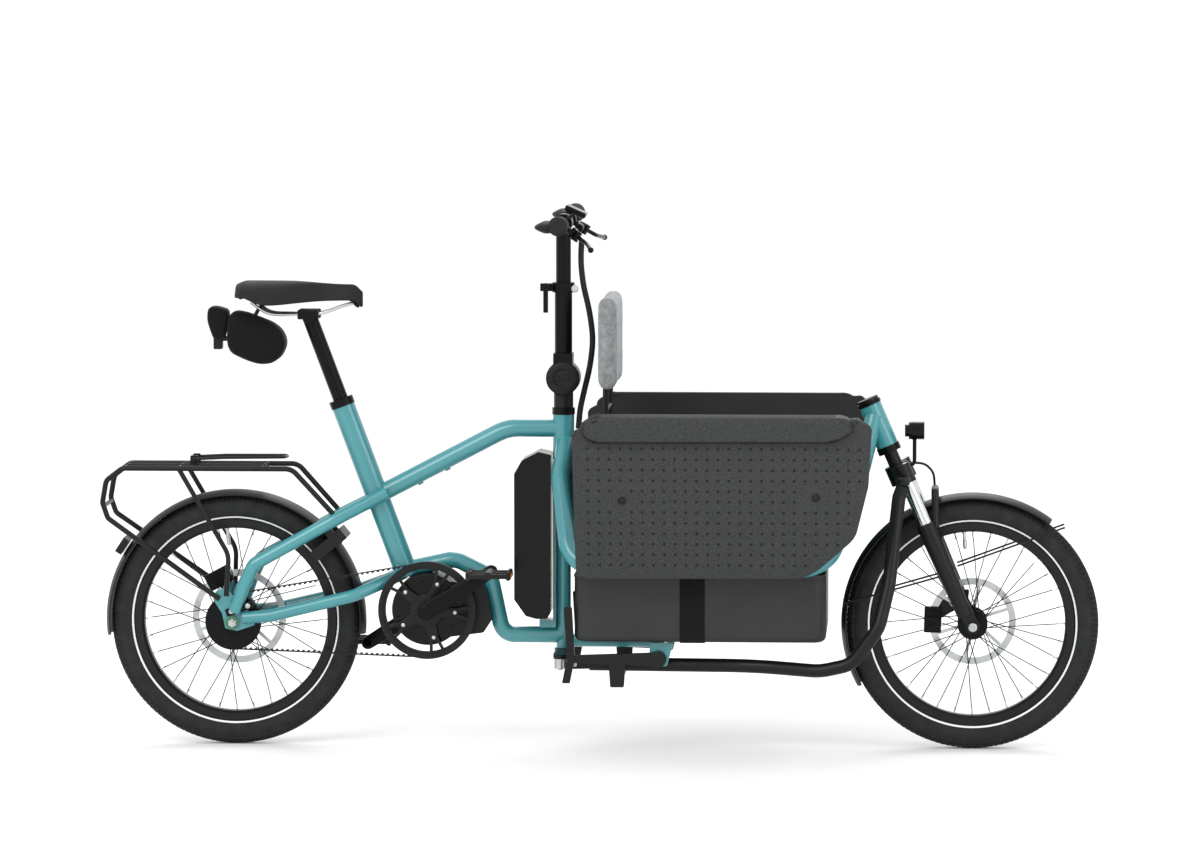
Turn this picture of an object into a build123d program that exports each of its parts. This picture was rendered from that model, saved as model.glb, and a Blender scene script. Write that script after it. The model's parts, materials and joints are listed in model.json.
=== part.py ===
"""Front-loading cargo bicycle with a belt drive, a linkage steering and a folding box.

Units are millimetres. +X is forwards, +Y is the rider's left and +Z is up. The origin is on
the ground, midway between the rearmost point of the rack and the foremost point of the tyre,
in the plane of symmetry. Every place is worked out from the sizes below: the rear end hangs
from the rear axle, the cockpit from the rear head tube, and the fork from the front axle.
"""
from build123d import *
import os
from math import atan2, cos, degrees, hypot, pi, radians, sin, sqrt, tan

# ---------------------------------------------------------------- overall sizes
WHEELBASE = 1529.0
TYRE_DIAMETER = 520.0
TYRE_WIDTH = 57.0
RIM_SEAT_DIAMETER = 406.0
REAR_OVERHANG = 276.0  # rear axle to the rearmost rack tube
REAR_CENTRE = 682.0  # rear axle to the rear head tube
HANDLEBAR_WIDTH = 640.0

# ---------------------------------------------------------------- clearances
RUNNING_GAP = 0.5  # between pieces that turn or slide on each other
SEAT_GAP = 0.05  # between pieces that are clamped or glued together
FIT_GAP = 0.05  # radial clearance of a shaft in its bore

# ---------------------------------------------------------------- wheels
TYRE_WALL = 4.0
FRONT_SHELL_RADIUS = 17.0
REAR_SHELL_RADIUS = 40.0
FRONT_ROTOR_PLANE = 38.0  # rotor to the plane of symmetry, on the left
REAR_ROTOR_PLANE = 53.0
FRONT_CALIPER_TURN = 178.0  # place of the caliper round the rotor, in degrees
REAR_CALIPER_TURN = 118.0
CALIPER_REACH = 7.0  # rotor to the outer face of the caliper
RIM_WIDTH = 36.0
RIM_DEPTH = 19.0
RIM_FLANGE = 2.4
RIM_HOOK = 7.0  # rim edge above the bead seat
SPOKE_COUNT = 32
SPOKE_RADIUS = 1.0
SPOKE_CROSS = 0.55  # lean of a spoke, in radians about the axle
FRONT_HUB_WIDTH = 110.0
REAR_HUB_WIDTH = 135.0
FRONT_FLANGE_RADIUS = 31.0
REAR_FLANGE_RADIUS = 46.0
FRONT_FLANGE_SPACING = 58.0
REAR_FLANGE_SPACING = 62.0
FLANGE_THICKNESS = 4.0
AXLE_RADIUS = 5.0
FRONT_ROTOR_RADIUS = 90.0
REAR_ROTOR_RADIUS = 98.0
ROTOR_THICKNESS = 1.8
AXLE_STUB = 9.0  # bare axle that stands out of the rear nut
AXLE_NUT_LENGTH = 9.0
AXLE_NUT_RADIUS = 9.0

# ---------------------------------------------------------------- frame
BRACKET_AHEAD = 402.0  # rear axle to the cranks' axis
BRACKET_HEIGHT = 286.0
SEAT_ANGLE = 20.6  # lean of the seat tube from vertical
SEAT_TUBE_SETBACK = 20.0
SEAT_TUBE_RADIUS = 24.0
SEAT_TUBE_TOP = 705.0
SEAT_TUBE_FOOT = 352.0
SEATPOST_RADIUS = 15.8
TOP_TUBE_RADIUS = 18.5
TOP_TUBE_HEIGHT = 661.0
TOP_TUBE_BEND = 100.0
FRAME_WALL = 2.4
CRADLE_RADIUS = 17.0
HEAD_TUBE_RADIUS = 22.0
HEAD_TUBE_TOP = 690.0
HEAD_TUBE_FOOT = 204.0
STEERER_RADIUS = 14.3
STAY_RADIUS = 14.0
STAY_SPREAD = 76.0  # stay centreline to the plane of symmetry at the axle
DROPOUT_THICKNESS = 8.0
BOSS_BORE = 2.5
BOSS_SPACING = 64.0
BOSS_RADIUS = 6.0
BOSS_DEPTH = 14.0
BOSS_HEIGHT = 3.0
BOSS_SETBACK = 150.0  # top tube's bend back to the first boss
CRADLE_FLOOR = 231.0
TOP_TUBE_JOINT = 519.0
TOP_TUBE_LEVEL = 116.0
HEAD_TUBE_SHOULDER = 596.0
HEAD_TUBE_WALL = 4.5
COLUMN_TUBE_RADIUS = 15.0
COLUMN_RADIUS = 11.0
CUP_HEIGHT = 14.0
RAIL_HEIGHT = 219.0
RAIL_RADIUS = 13.0
COLLAR_HEIGHT = 16.0
MOTOR_RADIUS = 74.0
MOTOR_HALF_WIDTH = 40.0
SPINDLE_RADIUS = 11.0
BATTERY_FOOT = 268.0
BATTERY_TOP = 615.0
BATTERY_DEPTH = 76.0
BATTERY_HALF_WIDTH = 45.0

# ---------------------------------------------------------------- front end
HEAD_ANGLE = 23.5  # lean of the front steering axis from vertical
FORK_OFFSET = 15.4  # steering axis to front axle
FRONT_HEAD_TOP = 712.0
FRONT_HEAD_FOOT = 628.0
STANCHION_RADIUS = 15.0
STANCHION_AHEAD = 10.0  # stanchion centreline ahead of the steering axis
LOWER_RADIUS = 20.0
FENDER_GAP = 9.0  # tyre to fender
FENDER_WIDTH = 66.0
FENDER_THICKNESS = 2.5
FENDER_CROWN = 9.0
SUSPENSION_TRAVEL = 30.0
FRONT_HEAD_RADIUS = 23.0
CROWN_FOOT = 552.0
CROWN_HEIGHT = 40.0
CROWN_RADIUS = 25.0
STANCHION_SHOWN = 92.0
STANCHION_LENGTH = 200.0
LOWER_FOOT_RADIUS = 16.0
FORK_TAB = 12.0
ARCH_RISE = 68.0
ARCH_AHEAD = 28.0
LUG_REACH = 100.0  # steering arm on the fork
LUG_RADIUS = 4.0
BALL_RADIUS = 7.5
SOCKET_GAP = 3.9
SOCKET_RADIUS = 15.0
ROD_RADIUS = 14.0
ROD_BULGE = 184.0  # widest reach of the steering rod from the plane of symmetry
LEVER_THICKNESS = 9.0
KNUCKLE_HEIGHT = 20.0
KNUCKLE_PIN_RADIUS = 5.0
KNUCKLE_OFFSET = 30.0
STAY_WIRE_RADIUS = 2.0
LAMP_RADIUS = 18.0
LAMP_SETBACK = -117.0
LAMP_HEIGHT = 659.0
REAR_FENDER_SPAN = (-6.0, 187.0)
FRONT_FENDER_SPAN = (53.0, 209.0)
FENDER_STAYS = (((189.0, 203.0), (-32.0, 122.0)), ((-268.0, 42.0), (-40.0, 108.0)))

# ---------------------------------------------------------------- drive
BELT_PITCH = 11.0
FRONT_TEETH = 56
REAR_TEETH = 32
BELT_PLANE = 50.0  # belt centre to the plane of symmetry, on the right
BELT_WIDTH = 12.0
BELT_THICKNESS = 3.0
CRANK_LENGTH = 160.0
CRANK_ANGLE = 32.0  # right crank above the forward horizontal
CRANK_PLANE = 87.0
CRANK_THICKNESS = 14.0
PEDAL_REACH = 148.0  # pedal centre to the plane of symmetry
PEDAL_LENGTH = 92.0
PEDAL_WIDTH = 92.0
PEDAL_PIN_RADIUS = 4.5

# ---------------------------------------------------------------- seat and rack
RAIL_SPREAD = 22.0
SADDLE_RAIL_RADIUS = 3.5
SADDLE_BASE = 922.0
SADDLE_TOP = 966.0
SADDLE_NOSE = -489.0
SADDLE_LENGTH = 264.0
SADDLE_HALF_WIDTH = 82.0
POST_FOOT = 560.0
POST_HEAD = 892.0
BAG_X = -728.0
BAG_Z = 852.0
BAG_HALF_WIDTH = 46.0
RACK_HEIGHT = 579.0
RACK_HALF_WIDTH = 65.0
RACK_TUBE = 5.5
DECK_RAIL_SPREAD = 24.0
CLAMP_RISE = 17.0
CLAMP_HALF_WIDTH = 34.0
LOCK_ANGLE = 39.0

# ---------------------------------------------------------------- cargo box
LOOP_RADIUS = 18.0
LOOP_SPREAD = 195.0  # lower run of the loop to the plane of symmetry
LOOP_HEIGHT = 390.0
TUB_HALF_WIDTH = 172.0
TUB_FOOT = 235.0
TUB_RIM = 374.0
TUB_WALL = 3.5
PANEL_THICKNESS = 22.0
PANEL_LEAN = 13.4  # outward lean of a side panel, in degrees
PANEL_TOP = 716.0
PANEL_FOOT = 374.0
PANEL_LIP_DEPTH = 50.0
PANEL_LIP_BULGE = 10.0
END_WALL_HALF_WIDTH = 135.0
FRONT_WALL_HALF_WIDTH = 92.0
END_WALL_THICKNESS = 14.0
PANEL_INNER = 216.0  # inner face of a side panel's foot to the plane of symmetry
STRAP_THICKNESS = 2.0
BENCH_DEPTH = 250.0
BENCH_TOP = 450.0
BACKREST_HINGE_Z = 472.0
BACKREST_FOOT = 744.0
BACKREST_TOP = 945.0
BACKREST_HALF_WIDTH = 140.0
BACKREST_LEG_SPREAD = 90.0

# ---------------------------------------------------------------- stand
STAND_SETBACK = 644.0  # front axle back to the stand's pivot
STAND_Z = 199.0
STAND_PIN_RADIUS = 6.0
STAND_EAR_PLANE = 140.0
STAND_LEG_PLANE = 156.0
EAR_THICKNESS = 8.0

# ---------------------------------------------------------------- cockpit
MAST_RADIUS = 18.0
MAST_INNER_RADIUS = 15.5
MAST_HINGE_HEIGHT = 766.0
MAST_CLAMP_HEIGHT = 953.0
BAR_HEIGHT = 1086.0
BAR_RADIUS = 11.1
GRIP_RADIUS = 16.0
GRIP_LENGTH = 125.0
HINGE_RADIUS = 35.0
HINGE_CORE = 13.0
HINGE_HALF_WIDTH = 26.0
HINGE_PIN_RADIUS = 6.0
MAST_INNER_FOOT = 872.0
BAR_STRAIGHT = 70.0
BAR_SWEEP = 0.03
BAR_RISE = 0.03
BRAKE_CLAMP_PLACE = 142.0
BRAKE_DROP = 33.0
BRAKE_BLADE = 118.0
LEVER_PIN_RADIUS = 3.0
SHIFTER_PLACE = 174.0
HOSE_SLEEVE_RADIUS = 6.0

# ---------------------------------------------------------------- worked-out places
WHEEL_RADIUS = TYRE_DIAMETER / 2
OVERALL_LENGTH = REAR_OVERHANG + WHEELBASE + WHEEL_RADIUS
REAR_X = REAR_OVERHANG - OVERALL_LENGTH / 2
FRONT_X = REAR_X + WHEELBASE
AXLE_Z = WHEEL_RADIUS
BRACKET_X = REAR_X + BRACKET_AHEAD
COLUMN_X = REAR_X + REAR_CENTRE
STAND_X = FRONT_X - STAND_SETBACK
BOX_BACK = COLUMN_X + 31.0
BOX_FRONT = FRONT_X - 205.0
BACKREST_X = COLUMN_X + 92.0
BATTERY_HINGE_X = COLUMN_X - 35.0
HEAD_LEAN = tan(radians(HEAD_ANGLE))
SEAT_LEAN = tan(radians(SEAT_ANGLE))
STEER_AXIS = Vector(-sin(radians(HEAD_ANGLE)), 0, cos(radians(HEAD_ANGLE)))
STEER_AHEAD = Vector(cos(radians(HEAD_ANGLE)), 0, sin(radians(HEAD_ANGLE)))
SEAT_AXIS = Vector(-sin(radians(SEAT_ANGLE)), 0, cos(radians(SEAT_ANGLE)))
TYRE_SECTION = TYRE_WIDTH / 2
FENDER_RADIUS = WHEEL_RADIUS + FENDER_GAP
FORK_SPREAD = FENDER_WIDTH / 2 + 9.0 + LOWER_RADIUS
FRONT_BELT_RADIUS = FRONT_TEETH * BELT_PITCH / (2 * pi)
REAR_BELT_RADIUS = REAR_TEETH * BELT_PITCH / (2 * pi)
CENTRE_MIN = (Align.CENTER, Align.CENTER, Align.MIN)


def steer_x(z):
    """Where the front steering axis is at height z."""
    return FRONT_X - FORK_OFFSET / cos(radians(HEAD_ANGLE)) - (z - AXLE_Z) * HEAD_LEAN


def seat_x(z):
    """Where the seat tube's axis is at height z."""
    return BRACKET_X - SEAT_TUBE_SETBACK - (z - BRACKET_HEIGHT) * SEAT_LEAN


def on_steer_axis(z, ahead=0.0, y=0.0):
    """A point beside the steering axis, level with height z on the axis."""
    return Vector(steer_x(z), y, z) + STEER_AHEAD * ahead


# ================================================================ small builders
def rod(a, b, radius, wall=0.0):
    """A straight round bar or tube from a to b."""
    a, b = Vector(a), Vector(b)
    plane = Plane(origin=a, z_dir=b - a)
    length = (b - a).length
    body = plane * Cylinder(radius, length, align=CENTRE_MIN)
    if wall:
        body -= plane * Cylinder(radius - wall, length, align=CENTRE_MIN)
    return body


def pipe(points, bend, radius, wall=0.0):
    """A round tube along straight runs that arcs join."""
    path = FilletPolyline(*points, radius=bend)
    section = Circle(radius) - Circle(radius - wall) if wall else Circle(radius)
    start = Plane(origin=path @ 0, z_dir=path % 0)
    return sweep(start * section, path=path)


def disc(x, y, z, radius, thickness, bore=0.0):
    """A disc or ring about an axis along Y, centred on y."""
    plane = Plane(origin=(x, y, z), z_dir=(0, 1, 0))
    body = plane * Cylinder(radius, thickness)
    if bore:
        body -= plane * Cylinder(bore, thickness * 2)
    return body


def block(x0, x1, y0, y1, z0, z1, fillet_radius=0.0):
    """A box between two corners, with its edges rounded if asked."""
    body = Pos((x0 + x1) / 2, (y0 + y1) / 2, (z0 + z1) / 2) * Box(x1 - x0, y1 - y0, z1 - z0)
    return fillet(body.edges(), fillet_radius) if fillet_radius else body


def side_plate(outline, y0, y1, corner=0.0):
    """A plate with an outline in X and Z, from y0 to y1."""
    low, high = min(y0, y1), max(y0, y1)
    face = make_face(Polyline(*[(x, z) for x, z in outline], close=True))
    if corner:
        face = fillet(face.vertices(), corner)
    plane = Plane(origin=(0, low, 0), x_dir=(1, 0, 0), z_dir=(0, -1, 0))
    return extrude(plane * face, amount=low - high)


def mirrored(body):
    """The same body on the other side of the bicycle."""
    return mirror(body, about=Plane.XZ)


def both_sides(body):
    """A body and its mirror image, as separate solids."""
    return Compound(children=[*body.solids(), *mirrored(body).solids()])


def group(*bodies):
    """Several separate solids in one node."""
    return Compound(children=[solid for body in bodies for solid in body.solids()])


def largest(body):
    """The biggest solid, where a cut has left slivers."""
    return max(body.solids(), key=lambda solid: solid.volume)


# ================================================================ wheels
def tyre(x):
    """An open-bottomed tyre carcass."""
    centre = WHEEL_RADIUS - TYRE_SECTION
    seat = RIM_SEAT_DIAMETER / 2
    outer = Pos(centre, 0) * Circle(TYRE_SECTION)
    inner = Pos(centre, 0) * Circle(TYRE_SECTION - TYRE_WALL)
    keep = Pos(seat + RIM_HOOK + RUNNING_GAP, 0) * Rectangle(
        WHEEL_RADIUS, 2 * TYRE_WIDTH, align=(Align.MIN, Align.CENTER))
    keep += Pos(seat + 3.0, 0) * Rectangle(
        RIM_HOOK, RIM_WIDTH - 2 * (RIM_FLANGE + SEAT_GAP), align=(Align.MIN, Align.CENTER))
    profile = Plane.XY * ((outer - inner) & keep)
    return Pos(x, 0, AXLE_Z) * revolve(profile, Axis.Y)


def rim(x):
    """A deep box rim with two bead hooks."""
    seat = RIM_SEAT_DIAMETER / 2
    inner = seat + RIM_HOOK - RIM_DEPTH
    half = RIM_WIDTH / 2
    outline = [
        (inner, -half * 0.62), (inner, half * 0.62), (inner + 5.0, half),
        (seat + RIM_HOOK, half), (seat + RIM_HOOK, half - RIM_FLANGE),
        (seat - 2.5, half - RIM_FLANGE), (seat - 2.5, -half + RIM_FLANGE),
        (seat + RIM_HOOK, -half + RIM_FLANGE), (seat + RIM_HOOK, -half), (inner + 5.0, -half),
    ]
    profile = Plane.XY * make_face(Polyline(*outline, close=True))
    return Pos(x, 0, AXLE_Z) * revolve(profile, Axis.Y)


def spokes(x, flange_radius, flange_spacing):
    """Crossed spokes from both hub flanges to the rim."""
    reach = RIM_SEAT_DIAMETER / 2 + RIM_HOOK - RIM_DEPTH - 0.4
    bars = []
    for i in range(SPOKE_COUNT):
        side = -1 if i % 2 else 1
        lean = SPOKE_CROSS if (i // 2) % 2 else -SPOKE_CROSS
        at_rim = 2 * pi * i / SPOKE_COUNT
        at_hub = at_rim + lean
        hub_y = side * (flange_spacing / 2 + (2.0 if (i // 2) % 2 else -2.0) * 1.6)
        hub_r = flange_radius - 6.0
        foot = Vector(x + hub_r * cos(at_hub), hub_y, AXLE_Z + hub_r * sin(at_hub))
        head = Vector(x + reach * cos(at_rim), side * 3.0, AXLE_Z + reach * sin(at_rim))
        bars.append(rod(foot, head, SPOKE_RADIUS))
    return bars


def hub(x, width, flange_radius, flange_spacing, shell_radius, rotor_radius, rotor_y):
    """A hub shell with two flanges, and the brake rotor on its left."""
    length = width - 2 * (DROPOUT_THICKNESS / 2)
    shell = disc(x, 0, AXLE_Z, shell_radius, flange_spacing)
    for side in (-1, 1):
        shell += disc(x, side * flange_spacing / 2, AXLE_Z, flange_radius, FLANGE_THICKNESS - 1.6)
    shell += disc(x, 0, AXLE_Z, AXLE_RADIUS + 8.0, length - 12.0)
    shell -= disc(x, 0, AXLE_Z, AXLE_RADIUS + FIT_GAP, width + 10.0)
    rotor = disc(x, rotor_y, AXLE_Z, rotor_radius, ROTOR_THICKNESS, rotor_radius - 14.0)
    carrier = disc(x, rotor_y, AXLE_Z, AXLE_RADIUS + 18.0, ROTOR_THICKNESS, AXLE_RADIUS + 8.0 + SEAT_GAP)
    arm_count = 6
    for i in range(arm_count):
        angle = 2 * pi * i / arm_count
        inner = AXLE_RADIUS + 15.0
        outer = rotor_radius - 12.0
        lean = angle + 0.45
        arm = rod(
            (x + inner * cos(angle), rotor_y, AXLE_Z + inner * sin(angle)),
            (x + outer * cos(lean), rotor_y, AXLE_Z + outer * sin(lean)), ROTOR_THICKNESS / 2,
        )
        plane = Plane(origin=arm.center(), z_dir=(0, 1, 0), x_dir=(cos(angle + 0.3), 0, sin(angle + 0.3)))
        rotor += plane * Box(outer - inner + 4.0, 7.0, ROTOR_THICKNESS)
    return shell, rotor + carrier


def wheel_nodes(end, x, rear):
    """The tyre, rim, spokes, hub and brake rotor of one wheel."""
    width = REAR_HUB_WIDTH if rear else FRONT_HUB_WIDTH
    flange = REAR_FLANGE_RADIUS if rear else FRONT_FLANGE_RADIUS
    spacing = REAR_FLANGE_SPACING if rear else FRONT_FLANGE_SPACING
    shell = REAR_SHELL_RADIUS if rear else FRONT_SHELL_RADIUS
    rotor_radius = REAR_ROTOR_RADIUS if rear else FRONT_ROTOR_RADIUS
    rotor_y = REAR_ROTOR_PLANE if rear else FRONT_ROTOR_PLANE
    body, rotor = hub(x, width, flange, spacing, shell, rotor_radius, rotor_y)
    return {
        f"{end}_tyre": tyre(x),
        f"{end}_rim": rim(x),
        f"{end}_spokes": group(*[bar - body for bar in spokes(x, flange, spacing)]),
        f"{end}_hub": group(body, rotor),
    }


def axle_with_nuts(x, half_width, stub):
    """A solid axle with a nut on each end and a bare stub outside each nut."""
    outer = half_width + AXLE_NUT_LENGTH
    axle = disc(x, 0, AXLE_Z, AXLE_RADIUS, 2 * (outer + stub))
    for side in (-1, 1):
        nut = Plane(origin=(x, side * (half_width + AXLE_NUT_LENGTH / 2), AXLE_Z), z_dir=(0, 1, 0))
        axle += nut * extrude(RegularPolygon(AXLE_NUT_RADIUS, 6), AXLE_NUT_LENGTH / 2, both=True)
    return axle


# ================================================================ frame
def cradle_points():
    """The tube that carries the motor and runs forward to the rear head tube."""
    return [
        (BRACKET_X - 45.0, 0, BRACKET_HEIGHT + 80.0),
        (BRACKET_X + 55.0, 0, BRACKET_HEIGHT + 102.0),
        (BRACKET_X + 128.0, 0, BRACKET_HEIGHT + 66.0),
        (BRACKET_X + 154.0, 0, CRADLE_FLOOR),
        (COLUMN_X, 0, CRADLE_FLOOR),
    ]


def top_tube_points():
    """The top tube, level at the head tube and then down to the seat tube."""
    return [
        (COLUMN_X, 0, TOP_TUBE_HEIGHT),
        (COLUMN_X - TOP_TUBE_LEVEL, 0, TOP_TUBE_HEIGHT),
        (seat_x(TOP_TUBE_JOINT), 0, TOP_TUBE_JOINT),
    ]


def main_tube_core():
    """The main tubes as full bars, which other pieces are cut to fit."""
    seat = rod((seat_x(SEAT_TUBE_FOOT), 0, SEAT_TUBE_FOOT), (seat_x(SEAT_TUBE_TOP), 0, SEAT_TUBE_TOP),
               SEAT_TUBE_RADIUS)
    top = pipe(top_tube_points(), TOP_TUBE_BEND, TOP_TUBE_RADIUS)
    cradle = pipe(cradle_points(), [45.0, 34.0, 30.0], CRADLE_RADIUS)
    head = rod((COLUMN_X, 0, HEAD_TUBE_SHOULDER), (COLUMN_X, 0, HEAD_TUBE_TOP), HEAD_TUBE_RADIUS)
    lower = rod((COLUMN_X, 0, HEAD_TUBE_FOOT), (COLUMN_X, 0, HEAD_TUBE_SHOULDER), COLUMN_TUBE_RADIUS)
    return seat + top + cradle + head + lower


def main_tubes(core):
    """The welded main frame, bored for the seatpost and the steering column."""
    body = core
    bore = SEATPOST_RADIUS + FIT_GAP
    body -= rod((seat_x(SEAT_TUBE_FOOT + 60.0), 0, SEAT_TUBE_FOOT + 60.0),
                (seat_x(SEAT_TUBE_TOP + 20.0), 0, SEAT_TUBE_TOP + 20.0), bore)
    body -= rod((COLUMN_X, 0, HEAD_TUBE_FOOT - 60.0), (COLUMN_X, 0, HEAD_TUBE_SHOULDER + 1.0),
                COLUMN_TUBE_RADIUS - FRAME_WALL)
    body -= rod((COLUMN_X, 0, HEAD_TUBE_SHOULDER), (COLUMN_X, 0, HEAD_TUBE_TOP + 20.0),
                HEAD_TUBE_RADIUS - HEAD_TUBE_WALL)
    bend, joint = Vector(*top_tube_points()[1]), Vector(*top_tube_points()[2])
    back = (joint - bend).normalized()
    down = Vector(-back.Z, 0, back.X)
    for step in (0, 1):
        foot = bend + back * (BOSS_SETBACK + step * BOSS_SPACING) + down * (TOP_TUBE_RADIUS + BOSS_HEIGHT)
        body += rod(foot - down * BOSS_DEPTH, foot, BOSS_RADIUS)
        body -= rod(foot - down * BOSS_DEPTH, foot + down, BOSS_BORE)
    return body


def stay_core():
    """The right seat stay and chain stay with their dropout, as full bars."""
    seat_stay = pipe([
        (seat_x(TOP_TUBE_JOINT) + 22.0, -28.0, TOP_TUBE_JOINT + 8.0),
        (REAR_X + 207.0, -54.0, AXLE_Z + 211.0),
        (REAR_X + 44.0, -STAY_SPREAD + 4.0, AXLE_Z + 121.0),
        (REAR_X + 24.0, -STAY_SPREAD, AXLE_Z + 78.0),
        (REAR_X + 4.0, -STAY_SPREAD, AXLE_Z + 22.0),
    ], [120.0, 22.0, 40.0], STAY_RADIUS)
    chain_stay = pipe([
        (REAR_X + 22.0, -STAY_SPREAD, AXLE_Z + 10.0),
        (REAR_X + 80.0, -STAY_SPREAD, AXLE_Z + 15.0),
        (REAR_X + 250.0, -64.0, AXLE_Z + 56.0),
        (REAR_X + 318.0, -24.0, AXLE_Z + 84.0),
        (REAR_X + 352.0, -12.0, AXLE_Z + 100.0),
    ], [60.0, 50.0, 24.0], STAY_RADIUS - 1.0)
    inner = -REAR_HUB_WIDTH / 2
    plate = side_plate([
        (REAR_X - 34.0, AXLE_Z + 66.0), (REAR_X - 16.0, AXLE_Z + 72.0), (REAR_X + 30.0, AXLE_Z + 30.0),
        (REAR_X + 48.0, AXLE_Z - 4.0), (REAR_X + 10.0, AXLE_Z - 17.0), (REAR_X - 15.0, AXLE_Z - 12.0),
        (REAR_X - 22.0, AXLE_Z + 20.0), (REAR_X - 40.0, AXLE_Z + 48.0),
    ], inner, inner - DROPOUT_THICKNESS, 4.0)
    return seat_stay + chain_stay + plate


def rear_stays(core):
    """Both sides of the rear triangle, cut to the main tubes."""
    outside = block(REAR_X - 90.0, REAR_X + 90.0, -REAR_HUB_WIDTH / 2, 0, AXLE_Z - 60.0, AXLE_Z + 60.0)
    right = stay_core() - core - outside
    right = largest(right)
    right -= disc(REAR_X, -REAR_HUB_WIDTH / 2, AXLE_Z, AXLE_RADIUS + SEAT_GAP, 80.0)
    nut_face = -REAR_HUB_WIDTH / 2 - DROPOUT_THICKNESS
    right -= disc(REAR_X, nut_face - 20.0, AXLE_Z, AXLE_NUT_RADIUS + 1.5, 40.0)
    return both_sides(right)


def box_loop_core():
    """The right side loop that carries the box, as a full bar."""
    return pipe([
        (COLUMN_X + 4.0, -8.0, 634.0),
        (COLUMN_X - 3.0, -84.0, 566.0),
        (COLUMN_X + 24.0, -LOOP_SPREAD, LOOP_HEIGHT),
        (FRONT_X - 300.0, -LOOP_SPREAD, LOOP_HEIGHT),
        (FRONT_X - 240.0, -44.0, 540.0),
        (steer_x(690.0), -8.0, 690.0),
    ], [60.0, 70.0, 75.0, 60.0], LOOP_RADIUS)


def front_head_core():
    """The front head tube as a full bar."""
    return rod(on_steer_axis(FRONT_HEAD_FOOT), on_steer_axis(FRONT_HEAD_TOP), FRONT_HEAD_RADIUS)


def box_loops(core, head):
    """Both side loops, cut to the two head tubes."""
    right = largest(box_loop_core() - core - head - block(-2000, 2000, 0, 50, 0, 2000))
    return both_sides(right)


def front_head(core):
    """The front head tube, bored for the fork's steerer."""
    return core - rod(on_steer_axis(FRONT_HEAD_FOOT - 40.0), on_steer_axis(FRONT_HEAD_TOP + 40.0),
                      FRONT_HEAD_RADIUS - HEAD_TUBE_WALL)


def floor_rail(core):
    """The rail under the tub, with a cross tube and the ears of the stand."""
    rail = rod((COLUMN_X, 0, RAIL_HEIGHT), (STAND_X, 0, RAIL_HEIGHT), RAIL_RADIUS)
    rail += rod((STAND_X, -STAND_EAR_PLANE, RAIL_HEIGHT), (STAND_X, STAND_EAR_PLANE, RAIL_HEIGHT), RAIL_RADIUS)
    rail = rail - core
    rail = largest(rail)
    for side in (-1, 1):
        inner = side * (STAND_EAR_PLANE - EAR_THICKNESS / 2)
        outer = side * (STAND_EAR_PLANE + EAR_THICKNESS / 2)
        rail += side_plate([
            (STAND_X - 18.0, RAIL_HEIGHT + 12.0), (STAND_X + 30.0, RAIL_HEIGHT + 12.0),
            (STAND_X + 18.0, STAND_Z - 16.0), (STAND_X - 18.0, STAND_Z - 16.0),
        ], inner, outer, 6.0)
    rail -= disc(STAND_X, 0, STAND_Z, STAND_PIN_RADIUS + FIT_GAP, 2 * STAND_EAR_PLANE + 60.0)
    return rail


def headset_cups():
    """The bearing cups of both head tubes and the bushes of the steering column."""
    gap = SEAT_GAP
    bore = STEERER_RADIUS + FIT_GAP
    rings = [
        rod((COLUMN_X, 0, HEAD_TUBE_TOP), (COLUMN_X, 0, HEAD_TUBE_TOP + CUP_HEIGHT), HEAD_TUBE_RADIUS + 1.5)
        - rod((COLUMN_X, 0, HEAD_TUBE_TOP - 1), (COLUMN_X, 0, HEAD_TUBE_TOP + 40.0), bore),
    ]
    for foot, height in ((HEAD_TUBE_FOOT, 30.0), (HEAD_TUBE_SHOULDER - 40.0, 30.0)):
        rings.append(
            rod((COLUMN_X, 0, foot), (COLUMN_X, 0, foot + height), COLUMN_TUBE_RADIUS - FRAME_WALL - gap)
            - rod((COLUMN_X, 0, foot - 1), (COLUMN_X, 0, foot + height + 1), COLUMN_RADIUS + FIT_GAP))
    for z, rise in ((FRONT_HEAD_TOP, CUP_HEIGHT * 0.5), (FRONT_HEAD_FOOT, -CUP_HEIGHT)):
        start = on_steer_axis(z)
        rings.append(rod(start, start + STEER_AXIS * rise, FRONT_HEAD_RADIUS + 1.5)
                     - rod(start - STEER_AXIS * rise, start + STEER_AXIS * 2 * rise, bore))
    return group(*rings)


def motor_unit(core):
    """The mid motor, hung under the cradle tube."""
    shell = disc(BRACKET_X, 0, BRACKET_HEIGHT, MOTOR_RADIUS, 2 * MOTOR_HALF_WIDTH)
    nose = side_plate([
        (BRACKET_X + 10.0, BRACKET_HEIGHT + 62.0), (BRACKET_X + 120.0, BRACKET_HEIGHT + 50.0),
        (BRACKET_X + 134.0, BRACKET_HEIGHT - 20.0), (BRACKET_X + 116.0, BRACKET_HEIGHT - 48.0),
        (BRACKET_X + 10.0, BRACKET_HEIGHT - 62.0),
    ], -MOTOR_HALF_WIDTH * 0.9, MOTOR_HALF_WIDTH * 0.9, 10.0)
    body = shell + nose - core
    body = largest(body)
    return body - disc(BRACKET_X, 0, BRACKET_HEIGHT, SPINDLE_RADIUS + FIT_GAP, 200.0)


def battery_mount():
    """The rail on the column tube that holds the battery."""
    x = COLUMN_X - COLUMN_TUBE_RADIUS - SEAT_GAP
    plate = block(x - 6.0, x, -20.0, 20.0, BATTERY_FOOT - 6.0, BATTERY_TOP - 30.0)
    shelf = block(BATTERY_HINGE_X - 14.0, x, -24.0, 24.0, CRADLE_FLOOR + CRADLE_RADIUS + SEAT_GAP,
                  BATTERY_FOOT - 4.0)
    return plate + shelf


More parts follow.
